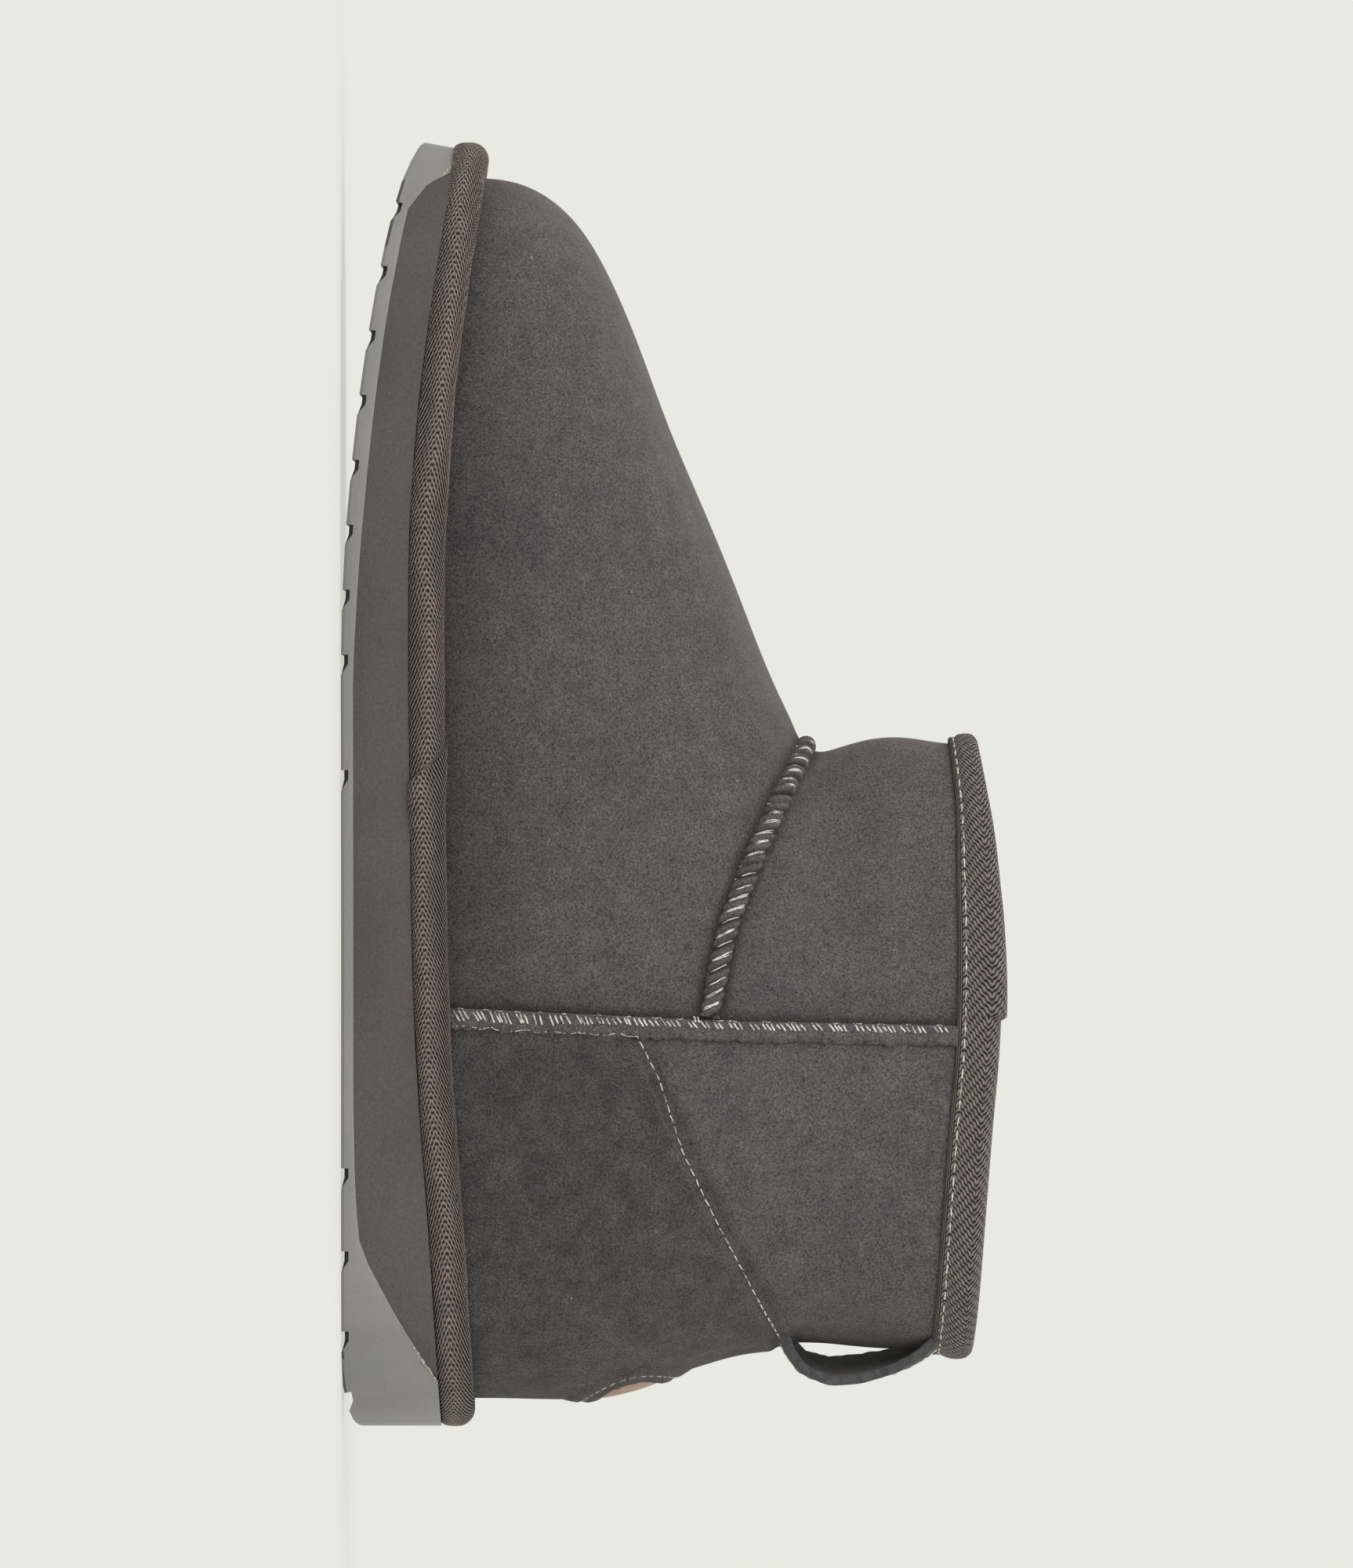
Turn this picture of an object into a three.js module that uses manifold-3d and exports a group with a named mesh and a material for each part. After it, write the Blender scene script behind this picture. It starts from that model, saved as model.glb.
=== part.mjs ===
// A low sheepskin boot for the right foot, standing empty on its sole. Millimetres, +Z up.
// Along the foot, x runs from the heel's end (0) to the toe; y is plus on the medial (big toe) side.
// At the end the group is moved so that its origin is the middle of the box, on the floor.
import * as THREE from "three";
import { mergeVertices } from "three/addons/utils/BufferGeometryUtils.js";
import Module from "manifold-3d";

const wasm = await Module();
wasm.setup();

// ---------------------------------------------------------------- driving dimensions

const LENGTH = 265; // heel end of the rolled tape to the toe end
const GAP = 0.3; // between neighbouring pieces
const TAPE = 7; // depth and height of the rolled tape round the foot of the upper
const WALL = 12.5; // skin and deep fleece together
const COLLAR_WALL = 5; // the same, pressed flat under the collar binding
const BINDING = 1; // thickness of the collar's tape
const BINDING_DEPTH = 9.5; // how far it comes down from the collar's edge
const SOLE_INSET = 1; // sole wall behind the tape's outer edge
const INSOLE = 7; // fleece footbed
const COUNTER = 1.4; // thickness of the heel counter overlay
const PATCH = 1.3; // thickness of the plain leather patch on the heel

const HEEL_END = 7.3; // of the upper, along x
const TOE_END = 257.6;
const THROAT = { x: 139.5, z: 95.8 }; // where the vamp's ridge meets the shaft
const RIDGE_SLOPE = 0.42; // of the instep, carried on behind the throat inside the shaft

// The foot in plan and from the side. half and centre: the tape's outer edge, before its round ends.
// girth: half the upper at its widest. crest: where the top of the section lies across the foot.
// tread: underside of the sole. feather: top of the sole.
const STATIONS = [
  { x: 0, centre: 5.9, half: 38.2, girth: 36, crest: 4.5, tread: 0, feather: 20.3 },
  { x: 24, centre: 5.8, half: 38.2, girth: 37, crest: 4.2, tread: 0, feather: 18.9 },
  { x: 40, centre: 5.4, half: 38.6, girth: 40, crest: 3.8, tread: 0, feather: 17.9 },
  { x: 57, centre: 4.2, half: 40.2, girth: 43, crest: 3.2, tread: 0, feather: 16.6 },
  { x: 80, centre: 1.0, half: 42.0, girth: 44.5, crest: 2.6, tread: 0, feather: 15.1 },
  { x: 107, centre: -1.2, half: 44.6, girth: 45.2, crest: 2.4, tread: 0, feather: 14.3 },
  { x: 133, centre: -1.4, half: 48.6, girth: 46.4, crest: 2.4, tread: 0, feather: 14.0 },
  { x: 158, centre: -1.0, half: 51.9, girth: 47.6, crest: 2.6, tread: 0, feather: 13.8 },
  { x: 179, centre: 0.0, half: 53.1, girth: 48.2, crest: 3.0, tread: 0.7, feather: 13.9 },
  { x: 206, centre: 1.8, half: 53.1, girth: 48.2, crest: 3.4, tread: 3.1, feather: 15.5 },
  { x: 226, centre: 3.0, half: 53.1, girth: 48.0, crest: 3.8, tread: 5.8, feather: 17.8 },
  { x: 246, centre: 4.1, half: 53.1, girth: 47.6, crest: 4.2, tread: 9.6, feather: 20.8 },
  { x: 257, centre: 4.5, half: 53.1, girth: 47.2, crest: 4.4, tread: 12.6, feather: 22.6 },
  { x: 265, centre: 4.6, half: 53.1, girth: 46.8, crest: 4.6, tread: 16.4, feather: 24.6 },
];

// The top of the vamp from the side, between the toe's upright wall and the throat.
const RIDGE = [
  { x: 139.5, z: 95.8 },
  { x: 153, z: 89.2 },
  { x: 166, z: 84.0 },
  { x: 186, z: 76.0 },
  { x: 206, z: 67.5 },
  { x: 226, z: 60.0 },
  { x: 239.5, z: 53.8 },
  { x: 246, z: 50.0 },
  { x: 250, z: 46.6 },
  { x: 253, z: 43.2 },
  { x: 255.5, z: 39.0 },
  { x: 257, z: 34.6 },
  { x: 257.6, z: 30.0 },
];

// The back line, and half the width of the rear of the upper, by height.
const HEIGHTS = [
  { z: 14, back: 7.3, width: 36.0 },
  { z: 30, back: 7.3, width: 38.5 },
  { z: 46, back: 7.0, width: 40.0 },
  { z: 58, back: 9.4, width: 40.6 },
  { z: 70, back: 12.8, width: 40.0 },
  { z: 84, back: 16.6, width: 38.6 },
  { z: 96, back: 17.4, width: 36.8 },
  { z: 110, back: 16.2, width: 35.2 },
  { z: 123, back: 15.9, width: 34.2 },
  { z: 136, back: 17.0, width: 33.6 },
];

// The front of the shaft, above the throat.
const SHAFT_FRONT = [
  { z: 95.8, x: 139.5 },
  { z: 99.5, x: 139.6 },
  { z: 105, x: 141.2 },
  { z: 112, x: 142.4 },
  { z: 118, x: 142.2 },
  { z: 124, x: 141.0 },
  { z: 134, x: 140.6 },
];

// Top edge of the wall at the collar, inside the binding.
const COLLAR = [
  { x: 15, z: 129.6 },
  { x: 24, z: 130.6 },
  { x: 40, z: 131.8 },
  { x: 60, z: 133.3 },
  { x: 84, z: 135.2 },
  { x: 100, z: 135.4 },
  { x: 120, z: 134.7 },
  { x: 133, z: 133.5 },
  { x: 143, z: 132.2 },
];

// Where the outsole ends and the midsole begins, from the side: the outsole climbs at heel and toe.
const SPLIT = [
  { x: -5, z: 31.0 },
  { x: 11, z: 19.1 },
  { x: 24, z: 11.0 },
  { x: 32, z: 6.8 },
  { x: 37.5, z: 4.1 },
  { x: 41, z: 3.5 },
  { x: 57, z: 2.7 },
  { x: 75, z: 2.5 },
  { x: 150, z: 2.5 },
  { x: 173, z: 3.5 },
  { x: 190, z: 4.9 },
  { x: 206, z: 6.5 },
  { x: 226, z: 9.1 },
  { x: 244, z: 12.3 },
  { x: 250.5, z: 13.7 },
  { x: 253, z: 15.1 },
  { x: 259.5, z: 23.0 },
  { x: 270, z: 38.0 },
];

// ---------------------------------------------------------------- small helpers

const mix = (a, b, t) => a + (b - a) * t;
const smoothstep = THREE.MathUtils.smoothstep;

// A smooth curve through a table's rows that never swings past them.
function through(rows, from, to) {
  const n = rows.length;
  const x = rows.map((row) => row[from]);
  const y = rows.map((row) => row[to]);
  const chord = x.slice(1).map((_, i) => (y[i + 1] - y[i]) / (x[i + 1] - x[i]));
  const slope = x.map((_, i) => {
    if (i === 0) return chord[0];
    if (i === n - 1) return chord[n - 2];
    if (chord[i - 1] * chord[i] <= 0) return 0;
    return (2 * chord[i - 1] * chord[i]) / (chord[i - 1] + chord[i]);
  });
  return (at) => {
    if (at <= x[0]) return y[0];
    if (at >= x[n - 1]) return y[n - 1];
    const i = x.findIndex((value) => value > at) - 1;
    const h = x[i + 1] - x[i];
    const t = (at - x[i]) / h;
    return (
      y[i] * (1 + 2 * t) * (1 - t) ** 2 +
      h * slope[i] * t * (1 - t) ** 2 +
      y[i + 1] * t ** 2 * (3 - 2 * t) +
      h * slope[i + 1] * t ** 2 * (t - 1)
    );
  };
}

// A round end: 0 at the end itself, 1 from "reach" onwards.
function roundEnd(distance, reach, power) {
  if (distance <= 0) return 0;
  if (distance >= reach) return 1;
  return (1 - (1 - distance / reach) ** power) ** (1 / power);
}

const at = {
  centre: through(STATIONS, "x", "centre"),
  half: through(STATIONS, "x", "half"),
  girth: through(STATIONS, "x", "girth"),
  crest: through(STATIONS, "x", "crest"),
  tread: through(STATIONS, "x", "tread"),
  feather: through(STATIONS, "x", "feather"),
  ridge: through(RIDGE, "x", "z"),
  back: through(HEIGHTS, "z", "back"),
  width: through(HEIGHTS, "z", "width"),
  shaftFront: through(SHAFT_FRONT, "z", "x"),
  collar: through(COLLAR, "x", "z"),
  split: through(SPLIT, "x", "z"),
};

// Every ring has 2 * SIDE points: the heel's end, the lateral side, the toe's end, the medial side.
const SIDE = 27;
const RING = Array.from({ length: 2 * SIDE }, (_, i) => i);

function ringPoint(i, start, end, pointAt) {
  const step = i <= SIDE ? i : 2 * SIDE - i;
  const side = i === 0 || i === SIDE ? 0 : i < SIDE ? -1 : 1;
  const x = mix(start, end, (1 - Math.cos((Math.PI * step) / SIDE)) / 2);
  return pointAt(x, side);
}

// ---------------------------------------------------------------- lofting rings into solids

// Joins rings of equal length. A closed loft runs from the last ring back to the first; an open one
// is capped by strips across the foot.
function loft(rings, closed) {
  const count = rings[0].length;
  const positions = rings.flat().flatMap((p) => [p.x, p.y, p.z]);
  const index = [];
  const vertex = (ring, i) => (ring % rings.length) * count + (i % count);
  for (let r = 0; r < (closed ? rings.length : rings.length - 1); r++) {
    for (let i = 0; i < count; i++) {
      index.push(vertex(r, i), vertex(r, i + 1), vertex(r + 1, i + 1));
      index.push(vertex(r, i), vertex(r + 1, i + 1), vertex(r + 1, i));
    }
  }
  if (!closed) {
    for (const [ring, turned] of [[0, true], [rings.length - 1, false]]) {
      for (let i = 0; i < count / 2; i++) {
        const corners = [i, i + 1, count - i - 1, (count - i) % count].map((k) => vertex(ring, k));
        for (const [a, b, c] of [[0, 1, 2], [0, 2, 3]]) {
          const face = [corners[a], corners[b], corners[c]];
          if (new Set(face).size === 3) index.push(...(turned ? face.reverse() : face));
        }
      }
    }
  }
  const geometry = new THREE.BufferGeometry();
  geometry.setAttribute("position", new THREE.Float32BufferAttribute(positions, 3));
  geometry.setIndex(index);
  return outward(geometry);
}

// Turns the faces of an inside-out geometry round.
function outward(geometry) {
  const p = geometry.getAttribute("position");
  const index = geometry.index.array;
  const [a, b, c] = [new THREE.Vector3(), new THREE.Vector3(), new THREE.Vector3()];
  let volume = 0;
  for (let i = 0; i < index.length; i += 3) {
    a.fromBufferAttribute(p, index[i]);
    b.fromBufferAttribute(p, index[i + 1]);
    c.fromBufferAttribute(p, index[i + 2]);
    volume += a.dot(b.cross(c));
  }
  if (volume < 0) {
    for (let i = 0; i < index.length; i += 3) {
      [index[i + 1], index[i + 2]] = [index[i + 2], index[i + 1]];
    }
  }
  return geometry;
}

// three.js geometry to a manifold-3d solid, and back.
function toSolid(geometry) {
  const bare = geometry.clone();
  bare.deleteAttribute("normal");
  bare.deleteAttribute("uv");
  const merged = mergeVertices(bare, 1e-4);
  return new wasm.Manifold(
    new wasm.Mesh({
      numProp: 3,
      vertProperties: merged.getAttribute("position").array,
      triVerts: new Uint32Array(merged.index.array),
    }),
  );
}

function toGeometry(solid) {
  const mesh = solid.getMesh();
  const geometry = new THREE.BufferGeometry();
  geometry.setAttribute("position", new THREE.BufferAttribute(new Float32Array(mesh.vertProperties), 3));
  geometry.setIndex(new THREE.BufferAttribute(new Uint32Array(mesh.triVerts), 1));
  return geometry;
}

// A side-view outline in x and z, as a slab from y = low to y = high.
function slab(corners, low, high) {
  const shape = new THREE.Shape(corners.map(({ x, z }) => new THREE.Vector2(x, z)));
  const geometry = new THREE.ExtrudeGeometry(shape, { depth: high - low, bevelEnabled: false });
  geometry.rotateX(Math.PI / 2);
  geometry.translate(0, high, 0);
  return toSolid(geometry);
}

// ---------------------------------------------------------------- sole outline

const HEEL_ROUND = 38;
const TOE_ROUND = 86;
const END_POWER = 2.1;

// A ring of the foot's outline, "inset" inside the tape's outer edge, at the height heightAt(x).
function outline(inset, heightAt, endInset = inset) {
  const [start, end] = [endInset, LENGTH - endInset];
  return RING.map((i) =>
    ringPoint(i, start, end, (x, side) => {
      const half =
        (at.half(x) - inset) *
        roundEnd(x - start, HEEL_ROUND - inset, END_POWER) *
        roundEnd(end - x, TOE_ROUND - inset, END_POWER);
      return new THREE.Vector3(x, at.centre(x) + side * half, heightAt(x));
    }),
  );
}

// Underside of the sole: the tread line, rounded up at the back of the heel.
const HEEL_CORNER = { reach: 14, rise: 5.5 };
function underside(x) {
  const lift = 1 - roundEnd(x + 1, HEEL_CORNER.reach, 2);
  return at.tread(x) + HEEL_CORNER.rise * Math.max(0, lift);
}

// ---------------------------------------------------------------- the last's outer surface

// Half the width of the upper's foot along the feather line.
function footing(x) {
  const inset = HEEL_END;
  return (
    (at.half(x) - inset) *
    roundEnd(x - HEEL_END, HEEL_ROUND - inset, END_POWER) *
    roundEnd(TOE_END - x, TOE_ROUND - inset, END_POWER)
  );
}

// Top of the vamp's section at x. Behind the throat it runs on inside the shaft.
const ridgeAt = (x) => (x < THROAT.x ? THROAT.z + RIDGE_SLOPE * (THROAT.x - x) : at.ridge(x));

const SECTION_POWER = 2.6; // how square the vamp's section is
const FLANK = 0.35; // share of the height over which the sides swell to their full girth
const REAR = { rise: 45, backReach: 55, backPower: 2.2, frontReach: 71, frontPower: 1.95 };
const FORWARD = { low: 70, high: 150, fade: 14 }; // where the shaft's section gives way to the vamp's
const CREST_RISE = 70; // height over which the section's middle moves from the sole's to the crest's

// Half the width of the upper at a point of the side view.
function halfWidth(x, z, back, front) {
  const feather = at.feather(x);
  const toeShare = roundEnd(TOE_END - x, TOE_ROUND - HEEL_END, END_POWER);
  const t = THREE.MathUtils.clamp((z - feather) / (ridgeAt(x) - feather), 0, 1);
  const swell = mix(footing(x), Math.max(footing(x), at.girth(x) * toeShare), smoothstep(t, 0, FLANK));
  const vamp = swell * Math.sqrt(1 - t ** SECTION_POWER);
  const shaft =
    at.width(z) *
    roundEnd(x - back, REAR.backReach, REAR.backPower) *
    roundEnd(front - x, REAR.frontReach, REAR.frontPower);
  const rear = mix(footing(x), shaft, smoothstep(z - feather, 0, REAR.rise));
  const below = 1 - smoothstep(z, THROAT.z - FORWARD.fade, THROAT.z);
  return mix(rear, vamp, smoothstep(x, FORWARD.low, FORWARD.high) * below);
}

// Height of level q (0 on the sole, 1 at the collar) over x.
const levelHeight = (x, q) => mix(at.feather(x) + GAP, at.collar(x), q);

// Where level q meets the front of the boot: the toe's wall, the vamp's ridge, or the shaft.
function frontOf(q) {
  if (levelHeight(THROAT.x, q) >= THROAT.z) {
    return at.shaftFront(levelHeight(THROAT.x, q));
  }
  if (levelHeight(TOE_END, q) <= at.ridge(TOE_END)) return TOE_END;
  let [low, high] = [THROAT.x, TOE_END];
  for (let i = 0; i < 40; i++) {
    const middle = (low + high) / 2;
    if (at.ridge(middle) > levelHeight(middle, q)) low = middle;
    else high = middle;
  }
  return low;
}

function bareRing(q) {
  const back = at.back(levelHeight(HEEL_END, q));
  const front = frontOf(q);
  return RING.map((i) =>
    ringPoint(i, back, front, (x, side) => {
      const z = levelHeight(x, q);
      const lift = smoothstep(z - at.feather(x), 0, CREST_RISE);
      const centre = mix(at.centre(x), at.crest(x), lift);
      return new THREE.Vector3(x, centre + side * halfWidth(x, z, back, front), z);
    }),
  );
}

// The ring at level q, moved "offset" along the surface's own normal (plus is outwards).
// The two end levels move level, so that the foot and the collar's edge keep their heights.
const NORMAL_STEP = 0.012;
function skin(q, offset) {
  const ring = bareRing(q);
  if (offset === 0) return ring;
  const lower = bareRing(Math.max(0, q - NORMAL_STEP));
  const upper = bareRing(Math.min(1, q + NORMAL_STEP));
  const count = ring.length;
  return ring.map((point, i) => {
    const along = ring[(i + 1) % count].clone().sub(ring[(i + count - 1) % count]);
    const up = upper[i].clone().sub(lower[i]);
    const normal = along.cross(up).normalize();
    if (q === 0 || q === 1) normal.setZ(0).normalize();
    return point.clone().addScaledVector(normal, offset);
  });
}

// Levels of the rings: close over the toe and the vamp, one in the throat, even up the shaft.
const throatFoot = at.feather(THROAT.x) + GAP;
const THROAT_LEVEL = (THROAT.z - throatFoot) / (at.collar(THROAT.x) - throatFoot);
const FOOT_RINGS = 17;
const SHAFT_RINGS = 7;
const SIDE_SEAM_X = 80;
const BINDING_LEVEL = 1 - BINDING_DEPTH / (at.collar(SIDE_SEAM_X) - at.feather(SIDE_SEAM_X));
const LEVELS = [
  ...Array.from({ length: FOOT_RINGS }, (_, i) => (THROAT_LEVEL * i) / FOOT_RINGS),
  ...Array.from({ length: SHAFT_RINGS + 1 }, (_, i) => mix(THROAT_LEVEL, 1, i / SHAFT_RINGS)),
];

// The fleece face needs fewer rings: every second one in the foot, all of them up the shaft.
const INNER_LEVELS = LEVELS.filter((_, i) => i % 2 === 0 || i >= FOOT_RINGS);

// Wall thickness by level: pressed thin under the binding, full fleece a thumb's width below it.
const PRESSED = { from: BINDING_LEVEL - 0.12, to: BINDING_LEVEL + 0.02 };
const wallAt = (q) => mix(WALL, COLLAR_WALL, smoothstep(q, PRESSED.from, PRESSED.to));

// The last, filled, with every face moved out by "offset".
const filledLast = (offset) => toSolid(loft(LEVELS.map((q) => skin(q, offset)), false));

// ---------------------------------------------------------------- pieces

const boot = new THREE.Group();

function piece(name, geometry, color, roughness) {
  const material = new THREE.MeshStandardMaterial({ color, roughness, metalness: 0 });
  const mesh = new THREE.Mesh(geometry, material);
  mesh.name = name;
  boot.add(mesh);
}

// Sole unit: one outline, cut into outsole and midsole, with cross grooves in the tread.
const TREAD_BEVEL = 0.6;
const TOE_FLUSH = 0.4; // share of the inset that is kept at the heel's and the toe's end
const GROOVE = { depth: 1.5, floor: 1.9, slope: 2.4, reach: 8, through: 0.6 };
const GROOVE_PITCH = 13.3;
const HEEL_GROOVES = [6.6, 19.4, 35.9, 52.9];
const FOREFOOT_GROOVES = [134.4, ...Array.from({ length: 8 }, (_, i) => 158 + GROOVE_PITCH * i)];
const SPLIT_STEPS = 56;

function soleUnit() {
  const endInset = SOLE_INSET * TOE_FLUSH;
  const foot = outline(SOLE_INSET + TREAD_BEVEL, underside, endInset + TREAD_BEVEL);
  const edge = outline(SOLE_INSET, (x) => underside(x) + TREAD_BEVEL, endInset);
  const top = outline(SOLE_INSET, at.feather, endInset);
  return toSolid(loft([foot, edge, top], false));
}

// A groove across the tread, with a steep wall towards the toe and a slope towards the heel.
function grooveBar(x, depth) {
  const half = GROOVE.floor / 2;
  const tilt = Math.atan2(underside(x + half) - underside(x - half), GROOVE.floor);
  const corners = [
    { x: half, z: -depth },
    { x: half, z: depth },
    { x: -half, z: depth },
    { x: -half - 2 * GROOVE.slope, z: -depth },
  ];
  const turned = corners.map((corner) => ({
    x: x + corner.x * Math.cos(tilt) - corner.z * Math.sin(tilt),
    z: underside(x) + corner.x * Math.sin(tilt) + corner.z * Math.cos(tilt),
  }));
  return slab(turned, -LENGTH, LENGTH);
}

function splitLine(shift) {
  return Array.from({ length: SPLIT_STEPS + 1 }, (_, i) => {
    const x = mix(SPLIT[0].x, SPLIT.at(-1).x, i / SPLIT_STEPS);
    return { x, z: at.split(x) + shift };
  });
}

// The split line, closed at a level far below or above the sole.
function sideOf(line, level) {
  return [...line, { x: line.at(-1).x, z: level }, { x: line[0].x, z: level }];
}

// The grooves are deep near the sole's edge and shallow across its middle.
function outsole(sole) {
  const below = sideOf(splitLine(0), -LENGTH).reverse();
  const inner = SOLE_INSET + GROOVE.reach;
  const core = toSolid(loft([-LENGTH, LENGTH].map((z) => outline(inner, () => z)), false));
  const grooves = [...HEEL_GROOVES, ...FOREFOOT_GROOVES].flatMap((x) => [
    grooveBar(x, GROOVE.depth).subtract(core),
    grooveBar(x, GROOVE.through),
  ]);
  const plain = sole.intersect(slab(below, -LENGTH, LENGTH));
  return grooves.reduce((solid, groove) => solid.subtract(groove), plain);
}

function midsole(sole) {
  return sole.intersect(slab(sideOf(splitLine(GAP), LENGTH), -LENGTH, LENGTH));
}

// The tape that is rolled round the foot of the upper, as seen in section: how far each corner lies
// inside the outer edge, and how high above the sole's top.
const TAPE_SECTION = [
  { inset: 6.9, height: 0 },
  { inset: 1.4, height: 0 },
  { inset: 0.3, height: 1.4 },
  { inset: 0, height: 3.4 },
  { inset: 0.5, height: 5.4 },
  { inset: 2.0, height: 6.7 },
  { inset: 4.2, height: TAPE },
  { inset: 6.9, height: 6.2 },
];

function rolledTape() {
  const rings = TAPE_SECTION.map(({ inset, height }) =>
    outline(inset, (x) => at.feather(x) + GAP + height),
  );
  return toSolid(loft(rings, true)).subtract(filledLast(GAP));
}

// The upper: one hollow wall, open at the collar and underneath.
function upper() {
  const outside = LEVELS.map((q) => skin(q, 0));
  const inside = INNER_LEVELS.map((q) => skin(q, -wallAt(q)));
  return loft([...outside, ...inside.reverse()], true);
}

// Collar binding: a tape folded over the wall's edge, as corners of its section. leg: how far up the
// binding's depth. off: outside the wall's outer face, or inside its fleece face. rise: over the edge.
const OUT = GAP + BINDING;
const BINDING_SECTION = [
  { face: "outer", leg: 0, off: GAP, rise: 0 },
  { face: "outer", leg: 0, off: OUT, rise: 0 },
  { face: "outer", leg: 0.6, off: OUT + 0.7, rise: 0 },
  { face: "outer", leg: 1, off: OUT + 0.4, rise: -0.4 },
  { face: "outer", leg: 1, off: OUT - 0.9, rise: 1.1 },
  { face: "outer", leg: 1, off: -1.4, rise: 1.9 },
  { face: "inner", leg: 1, off: -1.4, rise: 1.9 },
  { face: "inner", leg: 1, off: OUT - 0.9, rise: 1.1 },
  { face: "inner", leg: 1, off: OUT + 0.3, rise: -0.4 },
  { face: "inner", leg: 0.25, off: OUT, rise: 0 },
  { face: "inner", leg: 0.25, off: GAP, rise: 0 },
  { face: "inner", leg: 1, off: GAP, rise: GAP },
  { face: "outer", leg: 1, off: GAP, rise: GAP },
];

function collarBinding() {
  const rings = BINDING_SECTION.map(({ face, leg, off, rise }) => {
    const q = mix(BINDING_LEVEL, 1, leg);
    const ring = skin(q, face === "outer" ? off : -wallAt(q) - off);
    return ring.map((point) => point.clone().setZ(point.z + rise));
  });
  return loft(rings, true);
}

// Footbed: fleece on the sole, inside the wall.
function insole() {
  const inset = HEEL_END + WALL + GAP;
  const rings = [0, INSOLE].map((height) =>
    outline(inset, (x) => at.feather(x) + GAP + height),
  );
  return toSolid(loft(rings, false)).intersect(filledLast(-WALL - GAP));
}

// Heel counter: an overlay from side seam to side seam, under a straight slanting top edge.
const COUNTER_FRONT = { x: 82.5, z: 63.2 };
const COUNTER_BACK = { x: 20.5, z: 92.5 };
const COUNTER_CLEAR = TAPE + 3 * GAP; // above the sole, clear of the rolled tape
const COUNTER_FOOT = [0, 12, 30, 50, 66, COUNTER_FRONT.x]; // points along its lower edge

function heelCounter() {
  const foot = COUNTER_FOOT.map((x) => ({ x, z: at.feather(x) + COUNTER_CLEAR }));
  const side = [...foot, COUNTER_FRONT, COUNTER_BACK, { x: 0, z: COUNTER_BACK.z }];
  const band = filledLast(GAP + COUNTER).subtract(filledLast(GAP));
  return band.intersect(slab(side, -LENGTH, LENGTH));
}

// A bare oval of brown leather on the back of the heel.
const PATCH_OVAL = { z: 58.5, height: 21, width: 34 };
const PATCH_PLUG = { from: -10, depth: 40 }; // the oval's cutter, along x

function heelPatch() {
  const under = 2 * GAP + COUNTER;
  const oval = new THREE.Shape();
  oval.absellipse(0, 0, PATCH_OVAL.width / 2, PATCH_OVAL.height / 2, 0, 2 * Math.PI, false, 0);
  const settings = { depth: PATCH_PLUG.depth, bevelEnabled: false, curveSegments: 20 };
  const plug = new THREE.ExtrudeGeometry(oval, settings);
  plug.rotateZ(Math.PI / 2);
  plug.rotateY(Math.PI / 2);
  plug.translate(PATCH_PLUG.from, at.crest(HEEL_END), PATCH_OVAL.z);
  const band = filledLast(under + PATCH).subtract(filledLast(under));
  return band.intersect(toSolid(plug));
}

// Pull loop: a strap from the counter's top corner to the binding's lower edge, standing off the back.
const LOOP = { width: 27, thickness: 2.1, centre: 3.9, steps: 22 };
const LOOP_PATH = [
  { x: 20.2, z: 92.6 },
  { x: 15.6, z: 94.0 },
  { x: 11.0, z: 96.6 },
  { x: 9.0, z: 101.5 },
  { x: 9.6, z: 107.5 },
  { x: 11.4, z: 113.5 },
  { x: 13.4, z: 118.0 },
  { x: 16.2, z: 120.8 },
];

function pullLoop(binding) {
  const path = new THREE.SplineCurve(LOOP_PATH.map(({ x, z }) => new THREE.Vector2(x, z)));
  const face = (sign) =>
    Array.from({ length: LOOP.steps + 1 }, (_, i) => {
      const point = path.getPoint(i / LOOP.steps);
      const tangent = path.getTangent(i / LOOP.steps);
      const reach = (sign * LOOP.thickness) / 2;
      return { x: point.x - tangent.y * reach, z: point.y + tangent.x * reach };
    });
  const strap = slab([...face(1), ...face(-1).reverse()], -LOOP.width / 2, LOOP.width / 2);
  return strap
    .translate([0, LOOP.centre, 0])
    .subtract(filledLast(2 * GAP + COUNTER))
    .subtract(binding);
}

// ---------------------------------------------------------------- assembly

const sole = soleUnit();
const bindingGeometry = collarBinding();

piece("outsole", toGeometry(outsole(sole)), 0x8f918e, 0.75);
piece("midsole", toGeometry(midsole(sole)), 0x635e5b, 0.85);
piece("rolled_tape", toGeometry(rolledTape()), 0x6b615b, 0.95);
piece("upper", upper(), 0x4e4a49, 1);
piece("heel_counter", toGeometry(heelCounter()), 0x403f3d, 1);
piece("heel_patch", toGeometry(heelPatch()), 0x7a5b45, 0.8);
piece("collar_binding", bindingGeometry, 0x635953, 0.95);
piece("pull_loop", toGeometry(pullLoop(toSolid(bindingGeometry))), 0x3c3d3f, 1);
piece("insole", toGeometry(insole()), 0x3d3534, 1);

const box = new THREE.Box3().setFromObject(boot);
const middle = box.getCenter(new THREE.Vector3());
boot.position.set(-middle.x, -middle.y, 0);

export default boot;
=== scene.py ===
import math
import random

import bmesh
import bpy
import numpy as np
from mathutils import Matrix, Vector, noise
from mathutils.bvhtree import BVHTree
from mathutils.kdtree import KDTree


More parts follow.
